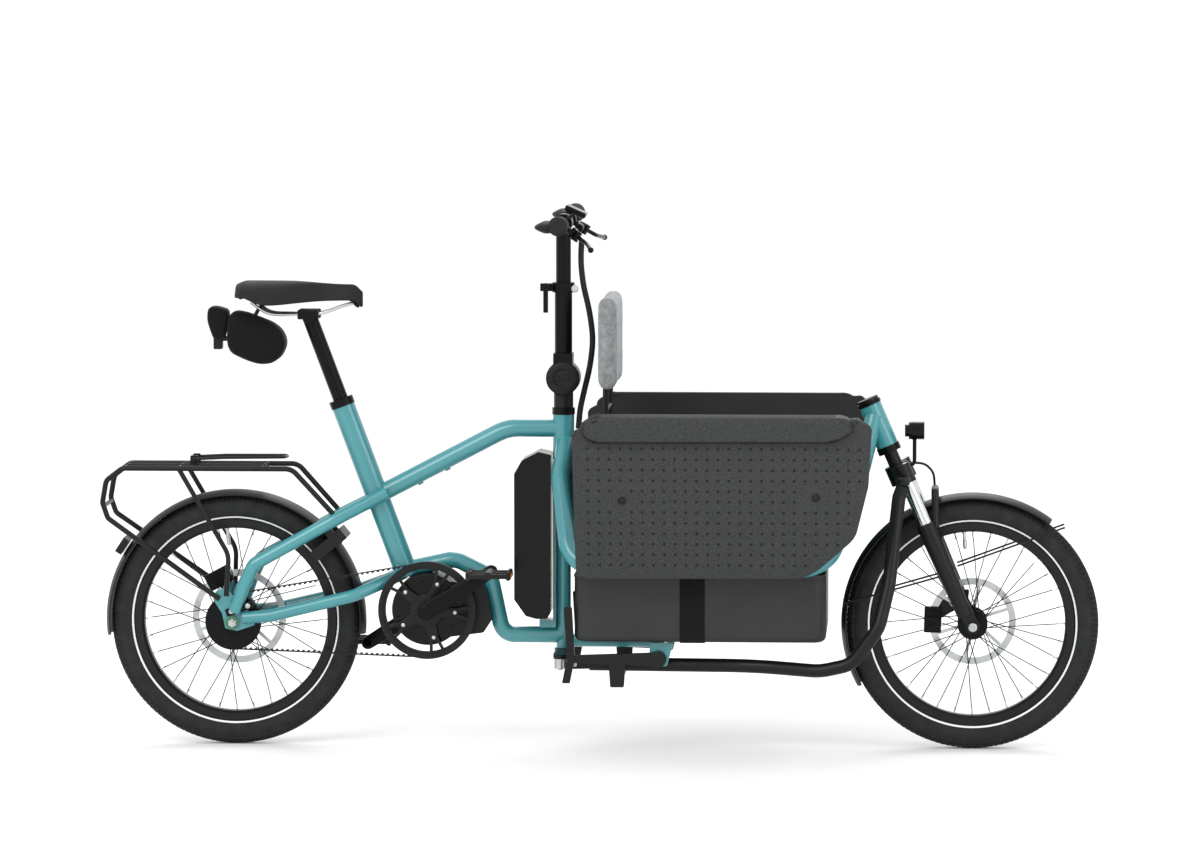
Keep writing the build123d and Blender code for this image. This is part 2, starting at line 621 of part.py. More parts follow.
def battery():
    """The battery pack, with bevelled corners."""
    front = COLUMN_X - COLUMN_TUBE_RADIUS - 9.0
    back = front - BATTERY_DEPTH
    return side_plate([
        (front, BATTERY_FOOT + 14.0), (front, BATTERY_TOP - 6.0), (front - 26.0, BATTERY_TOP),
        (back + 16.0, BATTERY_TOP - 18.0), (back, BATTERY_TOP - 46.0), (back, BATTERY_FOOT + 40.0),
        (back + 24.0, BATTERY_FOOT + 6.0), (front - 30.0, BATTERY_FOOT), (front - 8.0, BATTERY_FOOT),
    ], -BATTERY_HALF_WIDTH, BATTERY_HALF_WIDTH, 5.0)


# ================================================================ drive
def belt_outline(front_radius, rear_radius):
    """The outline of a belt round both pulleys."""
    run = hypot(BRACKET_X - REAR_X, BRACKET_HEIGHT - AXLE_Z)
    slope = atan2(BRACKET_HEIGHT - AXLE_Z, BRACKET_X - REAR_X)
    spread = pi / 2 + atan2(rear_radius - front_radius, run)
    corners = []
    for x, z, radius, sign in (
        (BRACKET_X, BRACKET_HEIGHT, front_radius, 1), (REAR_X, AXLE_Z, rear_radius, 1),
        (REAR_X, AXLE_Z, rear_radius, -1), (BRACKET_X, BRACKET_HEIGHT, front_radius, -1),
    ):
        angle = slope + sign * spread
        corners.append((x + radius * cos(angle), z + radius * sin(angle)))
    outline = make_face(Polyline(*corners, close=True))
    outline += Pos(BRACKET_X, BRACKET_HEIGHT) * Circle(front_radius)
    return outline + Pos(REAR_X, AXLE_Z) * Circle(rear_radius)


def drive_belt():
    """The toothed belt as a plain band, clear of both pulleys."""
    inner = RUNNING_GAP
    outer = inner + BELT_THICKNESS
    band = belt_outline(FRONT_BELT_RADIUS + outer, REAR_BELT_RADIUS + outer)
    band -= belt_outline(FRONT_BELT_RADIUS + inner, REAR_BELT_RADIUS + inner)
    plane = Plane(origin=(0, -BELT_PLANE, 0), x_dir=(1, 0, 0), z_dir=(0, -1, 0))
    return extrude(plane * band, amount=BELT_WIDTH / 2, both=True)


def front_pulley():
    """The front pulley with its five arms, keyed on the spindle."""
    body = disc(BRACKET_X, -BELT_PLANE, BRACKET_HEIGHT, FRONT_BELT_RADIUS, BELT_WIDTH + 2.0,
                FRONT_BELT_RADIUS - 16.0)
    body += disc(BRACKET_X, -BELT_PLANE, BRACKET_HEIGHT, 34.0, BELT_WIDTH)
    for i in range(5):
        turn = CRANK_ANGLE + 72.0 * i + 36.0
        plane = Plane(origin=(BRACKET_X, -BELT_PLANE, BRACKET_HEIGHT), z_dir=(0, -1, 0),
                      x_dir=(cos(radians(turn)), 0, sin(radians(turn))))
        body += plane * Pos(FRONT_BELT_RADIUS / 2, 0, 0) * Box(FRONT_BELT_RADIUS - 18.0, 20.0, BELT_WIDTH - 4.0)
    return body - disc(BRACKET_X, -BELT_PLANE, BRACKET_HEIGHT, SPINDLE_RADIUS + SEAT_GAP, 60.0)


def rear_pulley():
    """The rear pulley, which turns on the hub's driver."""
    return disc(REAR_X, -BELT_PLANE, AXLE_Z, REAR_BELT_RADIUS, BELT_WIDTH, AXLE_RADIUS + 8.0 + FIT_GAP)


def crank_end(side):
    """The pedal spindle's place on the right (-1) or left (1) crank."""
    angle = radians(CRANK_ANGLE if side < 0 else CRANK_ANGLE + 180.0)
    return Vector(BRACKET_X + CRANK_LENGTH * cos(angle), side * CRANK_PLANE,
                  BRACKET_HEIGHT + CRANK_LENGTH * sin(angle))


def crank_set():
    """The spindle, both crank arms and the two pedal spindles."""
    body = disc(BRACKET_X, 0, BRACKET_HEIGHT, SPINDLE_RADIUS, 2 * (CRANK_PLANE + 4.0))
    for side in (-1, 1):
        end = crank_end(side)
        hub_end = Vector(BRACKET_X, side * CRANK_PLANE, BRACKET_HEIGHT)
        body += disc(hub_end.X, hub_end.Y, hub_end.Z, 18.0, CRANK_THICKNESS)
        body += disc(end.X, end.Y, end.Z, 14.0, CRANK_THICKNESS)
        along = end - hub_end
        plane = Plane(origin=(hub_end + end) / 2, x_dir=along, z_dir=(0, 1, 0))
        body += plane * Box(CRANK_LENGTH, 26.0, CRANK_THICKNESS)
        tip = side * (PEDAL_REACH + PEDAL_WIDTH / 2 - 6.0)
        body += rod((end.X, end.Y, end.Z), (end.X, tip, end.Z), PEDAL_PIN_RADIUS)
    return body


def pedal(side):
    """A platform pedal with an open frame and two reflectors."""
    end = crank_end(side)
    y = side * PEDAL_REACH
    half, wide = PEDAL_LENGTH / 2, PEDAL_WIDTH / 2
    body = block(end.X - half, end.X + half, y - wide, y + wide, end.Z - 9.0, end.Z + 9.0, 4.0)
    for sign in (-1, 1):
        x = end.X + sign * half * 0.56
        body -= block(x - 11.0, x + 11.0, y - wide + 12.0, y + wide - 12.0, end.Z - 20.0, end.Z + 20.0)
    return body - disc(end.X, y, end.Z, PEDAL_PIN_RADIUS + FIT_GAP, 2 * PEDAL_WIDTH)


# ================================================================ seat
def seat_collar():
    """The clamp ring on top of the seat tube."""
    foot = Vector(seat_x(SEAT_TUBE_TOP), 0, SEAT_TUBE_TOP)
    ring = rod(foot, foot + SEAT_AXIS * COLLAR_HEIGHT, SEAT_TUBE_RADIUS + 1.5)
    ring -= rod(foot - SEAT_AXIS, foot + SEAT_AXIS * (COLLAR_HEIGHT + 1), SEATPOST_RADIUS + FIT_GAP)
    return ring


def seatpost():
    """The seatpost, its head and the two clamp plates of the rails."""
    foot = Vector(seat_x(POST_FOOT), 0, POST_FOOT)
    head = Vector(seat_x(POST_HEAD), 0, POST_HEAD)
    body = rod(foot, head, SEATPOST_RADIUS)
    for side in (-1, 1):
        y = side * RAIL_SPREAD
        body += rod((head.X, 0, head.Z - 4.0), (head.X, side * (RAIL_SPREAD + 7.0), head.Z - 4.0), 11.0)
        low, high = y - 7.0, y + 7.0
        body += block(head.X - 22.0, head.X + 22.0, low, high, head.Z - 6.0, head.Z + 14.0, 3.0)
        body -= rail_line(side, SADDLE_RAIL_RADIUS + SEAT_GAP)
    return body


def rail_line(side, radius):
    """One saddle rail, with its two ends turned up into the saddle."""
    head = Vector(seat_x(POST_HEAD), 0, POST_HEAD)
    y = side * RAIL_SPREAD
    return pipe([
        (head.X - 92.0, y * 1.2, SADDLE_BASE + 6.0),
        (head.X - 50.0, y, head.Z + 4.0),
        (head.X + 48.0, y, head.Z + 4.0),
        (head.X + 92.0, y * 0.5, SADDLE_BASE + 8.0),
    ], [18.0, 18.0], radius)


def saddle_outline():
    """Half the saddle's outline from above, nose to tail."""
    nose, tail = SADDLE_NOSE, SADDLE_NOSE - SADDLE_LENGTH
    return [
        (nose, 0), (nose - 6.0, 15.0), (nose - 90.0, 22.0), (nose - 150.0, 38.0),
        (nose - 200.0, 66.0), (tail + 34.0, SADDLE_HALF_WIDTH), (tail + 6.0, SADDLE_HALF_WIDTH - 16.0),
        (tail, 24.0), (tail + 4.0, 0),
    ]


def saddle():
    """The saddle's shell and pad as one closed form."""
    half = saddle_outline()
    outline = half + [(x, -y) for x, y in reversed(half[1:-1])]
    face = make_face(Polyline(*outline, close=True))
    face = fillet(face.vertices(), 5.0)
    body = extrude(Pos(0, 0, SADDLE_BASE) * face, amount=SADDLE_TOP - SADDLE_BASE)
    for side in (-1, 1):
        body -= rail_line(side, SADDLE_RAIL_RADIUS + SEAT_GAP)
    return largest(body)


def saddle_bag():
    """The bag that hangs behind the seatpost, under the saddle."""
    x, z = BAG_X, BAG_Z
    body = side_plate([
        (x - 86.0, z + 62.0), (x + 46.0, z + 58.0), (x + 84.0, z + 8.0),
        (x + 60.0, z - 50.0), (x + 10.0, z - 62.0), (x - 50.0, z - 36.0), (x - 84.0, z + 10.0),
    ], -BAG_HALF_WIDTH, BAG_HALF_WIDTH, 14.0)
    post = rod((seat_x(POST_FOOT), 0, POST_FOOT), (seat_x(POST_HEAD), 0, POST_HEAD), SEATPOST_RADIUS + 3.0)
    for side in (-1, 1):
        body -= rail_line(side, SADDLE_RAIL_RADIUS + 3.0)
    return largest(body - post)


# ================================================================ rack, lights and fenders
def rack_frame(stays):
    """The welded rack, cut to the stays it is bolted to."""
    height = RACK_HEIGHT
    rear = REAR_X - REAR_OVERHANG + RACK_TUBE
    y = RACK_HALF_WIDTH
    eye = STAY_SPREAD + 9.0
    side_tube = pipe([
        (REAR_X - 26.0, -eye, AXLE_Z + 50.0), (rear + 11.0, -y, AXLE_Z + 215.0),
        (rear, -y, AXLE_Z + 247.0), (rear + 8.0, -y, height - 26.0), (rear + 42.0, -y, height),
        (REAR_X + 123.0, -y, height), (REAR_X + 207.0, -y + 10.0, AXLE_Z + 226.0),
    ], [16.0, 18.0, 18.0, 18.0, 30.0], RACK_TUBE)
    strut = pipe([
        (REAR_X - 112.0, -y, height), (REAR_X - 8.0, -y - 4.0, AXLE_Z + 140.0),
        (REAR_X - 12.0, -eye, AXLE_Z + 56.0),
    ], [50.0], RACK_TUBE - 0.5)
    body = side_tube + strut
    body += mirrored(body)
    for x in (rear + 46.0, REAR_X - 112.0, REAR_X + 60.0):
        body += rod((x, -y, height), (x, y, height), RACK_TUBE - 1.0)
    body += rod((rear + 2.0, -y, AXLE_Z + 240.0), (rear + 2.0, y, AXLE_Z + 240.0), RACK_TUBE - 1.0)
    for line in (-DECK_RAIL_SPREAD, DECK_RAIL_SPREAD):
        body += rod((rear + 42.0, line, height + 2.0), (REAR_X + 66.0, line, height + 2.0), RACK_TUBE - 1.0)
    return largest(body - stays)


def rack_clamp():
    """The sprung wire flap that holds a load down on the rack."""
    height = RACK_HEIGHT + CLAMP_RISE
    x0, x1 = REAR_X - 84.0, REAR_X + 104.0
    y = CLAMP_HALF_WIDTH
    side_wire = pipe([(x0, -y, height), (x0 + 60.0, -y, height + 3.0), (x1, -y + 8.0, height + 4.0),
                      (x1 + 4.0, 0, height + 4.0)], [30.0, 8.0], 3.0)
    hinge = rod((x0, -y - 6.0, height), (x0, y + 6.0, height), 3.5)
    return side_wire + mirrored(side_wire) + hinge


def clamp_ears():
    """The two ears on the deck rails that hold the flap's hinge."""
    height = RACK_HEIGHT + CLAMP_RISE
    x = REAR_X - 84.0
    ears = []
    for side in (-1, 1):
        y0 = side * (DECK_RAIL_SPREAD - 3.0)
        y1 = side * (DECK_RAIL_SPREAD + 3.0)
        ear = side_plate([(x - 8.0, RACK_HEIGHT + RACK_TUBE - 2.0), (x + 8.0, RACK_HEIGHT + RACK_TUBE - 2.0),
                          (x + 8.0, height + 7.0), (x - 8.0, height + 7.0)], y0, y1, 3.0)
        ears.append(ear - disc(x, side * DECK_RAIL_SPREAD, height, 3.5 + FIT_GAP, 20.0))
    return ears


def fender(x, start, end):
    """A curved mudguard over part of a wheel, from start to end in degrees."""
    half, rise = FENDER_WIDTH / 2, FENDER_CROWN
    outer = ThreePointArc((FENDER_RADIUS - rise, -half), (FENDER_RADIUS, 0), (FENDER_RADIUS - rise, half))
    thick = FENDER_THICKNESS
    inner = ThreePointArc((FENDER_RADIUS - rise + thick, half), (FENDER_RADIUS + thick, 0),
                          (FENDER_RADIUS - rise + thick, -half))
    profile = make_face([outer, Line(outer @ 1, inner @ 0), inner, Line(inner @ 1, outer @ 0)])
    swept = revolve(Plane.XY * profile, Axis.Y, revolution_arc=end - start)
    return Pos(x, 0, AXLE_Z) * Rot(0, -end, 0) * swept


def rear_lamp():
    """The lamp on the back of the rear fender."""
    turn = radians(147.0)
    middle = FENDER_RADIUS + FENDER_THICKNESS + 9.5
    plane = Plane(origin=(REAR_X + middle * cos(turn), 0, AXLE_Z + middle * sin(turn)), x_dir=(0, 1, 0),
                  z_dir=(cos(turn), 0, sin(turn)))
    return plane * Box(50.0, 34.0, 14.0)


def ring_lock(stays, fender_body):
    """The frame lock, a horseshoe round the rear tyre."""
    along = Vector(cos(radians(LOCK_ANGLE)), 0, sin(radians(LOCK_ANGLE)))
    foot = Vector(REAR_X, 0, AXLE_Z) + along * (WHEEL_RADIUS - 50.0)
    plane = Plane(origin=foot, x_dir=(0, 1, 0), z_dir=along)
    height = 50.0 + FENDER_GAP + 24.0
    half = FENDER_WIDTH / 2
    body = plane * Box(2 * half + 30.0, 24.0, height, align=CENTRE_MIN)
    body -= plane * Pos(0, 0, -1.0) * Box(2 * half + 4.0, 60.0, height - 14.0, align=CENTRE_MIN)
    for side in (-1, 1):
        body += plane * Pos(side * (half + 10.0), 16.0, height - 22.0) * Box(12.0, 60.0, 16.0)
    return largest(body - stays - fender_body)


def caliper(x, y, turn, rotor_radius):
    """A disc brake caliper that straddles the edge of the rotor at y."""
    along = Vector(cos(radians(turn)), 0, sin(radians(turn)))
    edge = Vector(x, y, AXLE_Z) + along * rotor_radius
    plane = Plane(origin=edge, x_dir=along, z_dir=(0, 1, 0))
    body = plane * Pos(-8.0, 0, (CALIPER_REACH - 9.0) / 2) * Box(36.0, 54.0, CALIPER_REACH + 9.0)
    body = fillet(body.edges(), 2.5)
    slot = ROTOR_THICKNESS / 2 + RUNNING_GAP
    return body - plane * Pos(-38.0, 0, 0) * Box(80.0, 70.0, 2 * slot)


# ================================================================ fork
def fork_crown():
    """The steerer, the crown and the arm that the steering rod pulls."""
    low = on_steer_axis(CROWN_FOOT)
    crown_top = low + STEER_AXIS * CROWN_HEIGHT
    steerer_top = on_steer_axis(FRONT_HEAD_TOP) + STEER_AXIS * (CUP_HEIGHT * 0.5 + RUNNING_GAP)
    body = rod(low, steerer_top, STEERER_RADIUS)
    body += rod(low, crown_top, CROWN_RADIUS)
    body += rod(steerer_top, steerer_top + STEER_AXIS * 6.0, FRONT_HEAD_RADIUS - 1.0)
    ahead = STEER_AHEAD * STANCHION_AHEAD
    for side in (-1, 1):
        foot = low + ahead + Vector(0, side * FORK_SPREAD, 0)
        boss = rod(foot, foot + STEER_AXIS * CROWN_HEIGHT, STANCHION_RADIUS + 4.5)
        body += boss
        body += rod(low + STEER_AXIS * (CROWN_HEIGHT / 2), foot + STEER_AXIS * (CROWN_HEIGHT / 2),
                    CROWN_HEIGHT * 0.42)
    for side in (-1, 1):
        foot = low + ahead + Vector(0, side * FORK_SPREAD, 0)
        body -= rod(foot - STEER_AXIS, foot + STEER_AXIS * (CROWN_HEIGHT + 1), STANCHION_RADIUS + SEAT_GAP)
    lug = lug_centre()
    body += rod((lug.X, -FORK_SPREAD - STANCHION_RADIUS - 1.0, lug.Z), (lug.X, lug.Y, lug.Z), LUG_RADIUS)
    body += Pos(lug.X, lug.Y, lug.Z) * Sphere(BALL_RADIUS)
    for side in (-1, 1):
        foot = low + ahead + Vector(0, side * FORK_SPREAD, 0)
        body -= rod(foot - STEER_AXIS, foot + STEER_AXIS * (CROWN_HEIGHT + 1), STANCHION_RADIUS + SEAT_GAP)
    return largest(body)


def lug_centre():
    """The ball joint at the front end of the steering rod."""
    return on_steer_axis(CROWN_FOOT + 0.25 * CROWN_HEIGHT, 4.0, -LUG_REACH)


def fork_stanchions():
    """The two bright inner legs."""
    low = on_steer_axis(CROWN_FOOT) + STEER_AHEAD * STANCHION_AHEAD
    legs = []
    for side in (-1, 1):
        foot = low + Vector(0, side * FORK_SPREAD, 0)
        legs.append(rod(foot - STEER_AXIS * STANCHION_LENGTH, foot + STEER_AXIS * CROWN_HEIGHT, STANCHION_RADIUS))
    return group(*legs)


def fork_lowers():
    """Both lower legs with the arch that joins them and the dropouts."""
    crown = on_steer_axis(CROWN_FOOT) + STEER_AHEAD * STANCHION_AHEAD
    top = crown - STEER_AXIS * STANCHION_SHOWN
    axle = Vector(FRONT_X, 0, AXLE_Z)
    reach = (top - axle).dot(STEER_AXIS)
    offset = (top - axle).dot(STEER_AHEAD)
    foot = axle + STEER_AHEAD * offset + STEER_AXIS * 26.0
    body = None
    for side in (-1, 1):
        shift = Vector(0, side * FORK_SPREAD, 0)
        plane = Plane(origin=foot + shift, z_dir=STEER_AXIS)
        leg = plane * Cone(LOWER_FOOT_RADIUS, LOWER_RADIUS, reach - 60.0, align=CENTRE_MIN)
        leg += rod(foot + shift + STEER_AXIS * (reach - 60.5), top + shift, LOWER_RADIUS)
        tab_top = foot + STEER_AXIS * 30.0
        leg += side_plate([
            (tab_top.X - 12.0, tab_top.Z - 6.0), (tab_top.X + 14.0, tab_top.Z + 6.0),
            (axle.X + 15.0, axle.Z + 2.0), (axle.X + 10.0, axle.Z - 13.0), (axle.X - 10.0, axle.Z - 13.0),
            (axle.X - 16.0, axle.Z + 4.0),
        ], side * (FORK_SPREAD - FORK_TAB / 2), side * (FORK_SPREAD + FORK_TAB / 2), 3.0)
        body = leg if body is None else body + leg
    lift = STEER_AXIS * 16.0
    arch_low = top - lift + STEER_AHEAD * (LOWER_RADIUS - 4.0)
    arch_high = arch_low + STEER_AXIS * ARCH_RISE + STEER_AHEAD * ARCH_AHEAD
    body += pipe([
        arch_low + Vector(0, -FORK_SPREAD, 0), arch_high + Vector(0, -FORK_SPREAD * 0.7, 0),
        arch_high + Vector(0, FORK_SPREAD * 0.7, 0), arch_low + Vector(0, FORK_SPREAD, 0),
    ], [14.0, 14.0], 8.0)
    body += side_plate([
        (axle.X - 6.0, axle.Z + 66.0), (axle.X - 26.0, axle.Z + 62.0), (axle.X - 100.0, axle.Z + 22.0),
        (axle.X - 96.0, axle.Z - 14.0), (axle.X - 60.0, axle.Z + 8.0), (axle.X - 10.0, axle.Z + 36.0),
    ], FRONT_ROTOR_PLANE + CALIPER_REACH + SEAT_GAP, FORK_SPREAD - 8.0, 4.0)
    for side in (-1, 1):
        shift = Vector(0, side * FORK_SPREAD, 0)
        body -= rod(crown + shift - STEER_AXIS * (STANCHION_LENGTH + SUSPENSION_TRAVEL + 8.0),
                    crown + shift + STEER_AXIS * 20.0, STANCHION_RADIUS + FIT_GAP)
    return body - disc(FRONT_X, 0, AXLE_Z, AXLE_RADIUS + SEAT_GAP, 300.0)


def fender_stays():
    """The wires that brace the front fender from the fork legs."""
    y = FENDER_WIDTH / 2 + 3.0
    wires = []
    for tip, root in FENDER_STAYS:
        tip_at = Vector(FRONT_X + tip[0], 0, AXLE_Z + tip[1])
        root_at = Vector(FRONT_X + root[0], 0, AXLE_Z + root[1])
        for side in (-1, 1):
            wires.append(rod(tip_at + Vector(0, side * y, 0), root_at + Vector(0, side * y, 0), STAY_WIRE_RADIUS))
    return group(*wires)


def headlight():
    """The lamp ahead of the front head tube, on its wire bracket."""
    x, z = FRONT_X + LAMP_SETBACK, LAMP_HEIGHT
    body = rod((x - 16.0, 0, z), (x + 14.0, 0, z), LAMP_RADIUS)
    body += rod((x - 24.0, 0, z), (x - 15.5, 0, z), LAMP_RADIUS * 0.7)
    low = on_steer_axis(CROWN_FOOT + CROWN_HEIGHT * 0.6, CROWN_RADIUS - 2.0)
    body += rod((x - 4.0, 0, z - LAMP_RADIUS + 3.0), (low.X + 12.0, 0, low.Z + 6.0), 4.0)
    body += rod((low.X + 12.0, 0, low.Z + 6.0), (low.X - 2.0, 0, low.Z + 2.0), 4.0)
    return body


# ================================================================ steering linkage
def steering_column():
    """The shaft from the mast's hinge down to the lever under the box."""
    low = HEAD_TUBE_FOOT - LEVER_THICKNESS - RUNNING_GAP
    body = rod((COLUMN_X, 0, low), (COLUMN_X, 0, HEAD_TUBE_SHOULDER + 6.0), COLUMN_RADIUS)
    top = HEAD_TUBE_TOP + CUP_HEIGHT
    body += rod((COLUMN_X, 0, HEAD_TUBE_SHOULDER + 5.0), (COLUMN_X, 0, top + RUNNING_GAP), STEERER_RADIUS)
    body += rod((COLUMN_X, 0, top + RUNNING_GAP), (COLUMN_X, 0, MAST_HINGE_HEIGHT - 20.0), HEAD_TUBE_RADIUS - 2.0)
    body += disc(COLUMN_X, 0, MAST_HINGE_HEIGHT, HINGE_RADIUS, 2 * HINGE_CORE)
    body -= block(COLUMN_X - 60.0, COLUMN_X + 60.0, HINGE_CORE, 60.0, MAST_HINGE_HEIGHT - HINGE_RADIUS - 1.0,
                  MAST_HINGE_HEIGHT)
    body -= block(COLUMN_X - 60.0, COLUMN_X + 60.0, -60.0, -HINGE_CORE, MAST_HINGE_HEIGHT - HINGE_RADIUS - 1.0,
                  MAST_HINGE_HEIGHT)
    body += disc(COLUMN_X, 0, MAST_HINGE_HEIGHT, HINGE_PIN_RADIUS, 2 * (HINGE_HALF_WIDTH + 2.0))
    lever = block(COLUMN_X - 15.0, COLUMN_X + 15.0, -lever_reach(), 0, low, low + LEVER_THICKNESS)
    lever += rod((COLUMN_X, 0, low), (COLUMN_X, 0, low + LEVER_THICKNESS), 19.0)
    lever += rod((COLUMN_X, -lever_reach(), low), (COLUMN_X, -lever_reach(), low + LEVER_THICKNESS), 15.0)
    body += lever
    body += rod((COLUMN_X, -lever_reach(), low - KNUCKLE_HEIGHT - 3.0), (COLUMN_X, -lever_reach(), low + 1.0),
                KNUCKLE_PIN_RADIUS)
    return body


def lever_reach():
    """The column lever's length, which moves the fork's arm through the same angle."""
    lug = lug_centre()
    rise = lug.Z - rod_height()
    run = lug.X - COLUMN_X
    tilt = radians(HEAD_ANGLE)
    return LUG_REACH * (cos(tilt) + sin(tilt) * rise / run)


def rod_height():
    """The height of the steering rod's rear joint."""
    return HEAD_TUBE_FOOT - LEVER_THICKNESS - 2 * RUNNING_GAP - KNUCKLE_HEIGHT / 2


def rod_knuckle():
    """The swivel under the lever, with the rod's cross pin."""
    z = rod_height()
    y = -lever_reach()
    body = rod((COLUMN_X, y, z - KNUCKLE_HEIGHT / 2), (COLUMN_X, y, z + KNUCKLE_HEIGHT / 2), 13.0)
    body -= rod((COLUMN_X, y, z - 40.0), (COLUMN_X, y, z + 40.0), KNUCKLE_PIN_RADIUS + FIT_GAP)
    body += block(COLUMN_X + 11.5, COLUMN_X + 30.0, y - 5.0, y + 5.0, z - 8.0, z + 8.0)
    return body + disc(COLUMN_X + KNUCKLE_OFFSET, y, z, 5.0, 34.0)


def steering_rod():
    """The bent rod from the column's lever to the fork's arm."""
    lug = lug_centre()
    y, z = -lever_reach(), rod_height()
    x = COLUMN_X + KNUCKLE_OFFSET
    body = pipe([
        (x + 30.0, y, z), (FRONT_X - 450.0, y - 2.0, z - 2.0), (FRONT_X - 312.0, -ROD_BULGE + 12.0, z - 6.0),
        (FRONT_X - 246.0, -ROD_BULGE, z + 10.0), (FRONT_X - 192.0, -ROD_BULGE, z + 86.0),
        (FRONT_X - 172.0, -ROD_BULGE + 26.0, z + 170.0), (lug.X - 8.0, lug.Y - 4.0, lug.Z - 34.0),
        (lug.X, lug.Y, lug.Z - SOCKET_RADIUS + 2.0),
    ], [300.0, 120.0, 60.0, 60.0, 120.0, 14.0], ROD_RADIUS)
    for side in (-1, 1):
        cheek = side_plate([(x - 10.0, z - 10.0), (x - 10.0, z + 10.0), (x + 36.0, z + 9.0), (x + 36.0, z - 9.0)],
                           y + side * 7.0, y + side * 13.0, 4.0)
        body += cheek
    body -= disc(x, y, z, 5.0 + FIT_GAP, 60.0)
    body += Pos(lug.X, lug.Y, lug.Z) * Sphere(SOCKET_RADIUS)
    body -= Pos(lug.X, lug.Y, lug.Z) * Sphere(BALL_RADIUS + SOCKET_GAP)
    mouth = SOCKET_RADIUS * 0.83
    return largest(body - rod((lug.X, lug.Y, lug.Z), (lug.X, lug.Y + 40.0, lug.Z), mouth)
                   - rod((lug.X, lug.Y, lug.Z), (lug.X, lug.Y, lug.Z + 40.0), mouth))


# ================================================================ cockpit
def mast_outer():
    """The folding mast's lower tube with the cheeks of its hinge and its clamp."""
    z = MAST_HINGE_HEIGHT
    body = None
    for side in (-1, 1):
        y = side * (HINGE_CORE + RUNNING_GAP + HINGE_HALF_WIDTH) / 2
        width = HINGE_HALF_WIDTH - HINGE_CORE - RUNNING_GAP
        cheek = disc(COLUMN_X, y, z, HINGE_RADIUS, width)
        body = cheek if body is None else body + cheek
    base = z + HINGE_RADIUS + 2.0
    body += rod((COLUMN_X, 0, base), (COLUMN_X, 0, MAST_CLAMP_HEIGHT + 10.0), MAST_RADIUS)
    collar = block(COLUMN_X - 20.0, COLUMN_X + 20.0, -HINGE_HALF_WIDTH, HINGE_HALF_WIDTH, z, base + 14.0)
    collar -= disc(COLUMN_X, 0, z, HINGE_RADIUS + 1.5, 2 * (HINGE_CORE + RUNNING_GAP))
    body += collar
    body += rod((COLUMN_X, 0, MAST_CLAMP_HEIGHT - 10.0), (COLUMN_X, 0, MAST_CLAMP_HEIGHT + 10.0), MAST_RADIUS + 5.0)
    ear = block(COLUMN_X - 48.0, COLUMN_X - 16.0, -9.0, 9.0, MAST_CLAMP_HEIGHT - 8.0, MAST_CLAMP_HEIGHT + 8.0, 2.0)
    body += ear
    body -= rod((COLUMN_X, 0, base + 8.0), (COLUMN_X, 0, MAST_CLAMP_HEIGHT + 40.0), MAST_INNER_RADIUS + FIT_GAP)
    body -= block(COLUMN_X - 60.0, COLUMN_X - MAST_INNER_RADIUS + 2.0, -1.5, 1.5, MAST_CLAMP_HEIGHT - 9.0,
                  MAST_CLAMP_HEIGHT + 40.0)
    body -= disc(COLUMN_X, 0, z, HINGE_PIN_RADIUS + FIT_GAP, 200.0)
    return body - disc(COLUMN_X - 36.0, 0, MAST_CLAMP_HEIGHT, 3.0 + FIT_GAP, 60.0)


def mast_clamp_lever():
    """The quick-release lever on the mast's clamp, with its pin."""
    x, z = COLUMN_X - 36.0, MAST_CLAMP_HEIGHT
    body = disc(x, 0, z, 3.0, 36.0)
    body += disc(x, -15.0, z, 9.0, 8.0) + disc(x, 15.0, z, 8.0, 5.0)
    return body + block(x - 5.0, x + 5.0, -19.0, -12.0, z - 52.0, z, 2.0)


def bar_point(y):
    """A point on the handlebar's axis."""
    outer = max(0.0, abs(y) - BAR_STRAIGHT)
    return Vector(COLUMN_X + outer * BAR_SWEEP, y, BAR_HEIGHT + outer * BAR_RISE)


def bar_sleeve(y0, y1, radius, bore=BAR_RADIUS + SEAT_GAP):
    """A sleeve round the handlebar from y0 to y1."""
    a, b = bar_point(y0), bar_point(y1)
    step = (b - a).normalized()
    return rod(a, b, radius) - rod(a - step, b + step, bore)


def handlebar():
    """The handlebar, straight in the clamp and swept at both sides."""
    half = HANDLEBAR_WIDTH / 2
    return pipe([bar_point(-half), bar_point(-BAR_STRAIGHT), bar_point(BAR_STRAIGHT), bar_point(half)],
                [60.0, 60.0], BAR_RADIUS)


def mast_inner():
    """The sliding upper tube with the clamp that holds the handlebar."""
    body = rod((COLUMN_X, 0, MAST_INNER_FOOT), (COLUMN_X, 0, BAR_HEIGHT - 12.0), MAST_INNER_RADIUS)
    body += rod((COLUMN_X, -24.0, BAR_HEIGHT), (COLUMN_X, 24.0, BAR_HEIGHT), BAR_RADIUS + 8.0)
    return body - rod((COLUMN_X, -30.0, BAR_HEIGHT), (COLUMN_X, 30.0, BAR_HEIGHT), BAR_RADIUS + SEAT_GAP)


def grips():
    """Both grips, each with its palm wing."""
    half = HANDLEBAR_WIDTH / 2
    body = bar_sleeve(-half - 4.0, -half + GRIP_LENGTH, GRIP_RADIUS, 0.01)
    wing_at = bar_point(-half + 40.0)
    wing = block(wing_at.X - 52.0, wing_at.X - 4.0, -half, -half + 84.0, wing_at.Z - 6.0, wing_at.Z + 5.0, 4.0)
    body = body + wing
    body -= rod(bar_point(-half), bar_point(-half + GRIP_LENGTH + 4.0), BAR_RADIUS + SEAT_GAP)
    return both_sides(largest(body))


def lever_pivot(side):
    """The brake lever's pivot ahead of the handlebar."""
    bar = bar_point(side * BRAKE_CLAMP_PLACE)
    ahead = Vector(cos(radians(BRAKE_DROP)), 0, -sin(radians(BRAKE_DROP)))
    return bar + ahead * 40.0 + Vector(0, side * 14.0, 0)


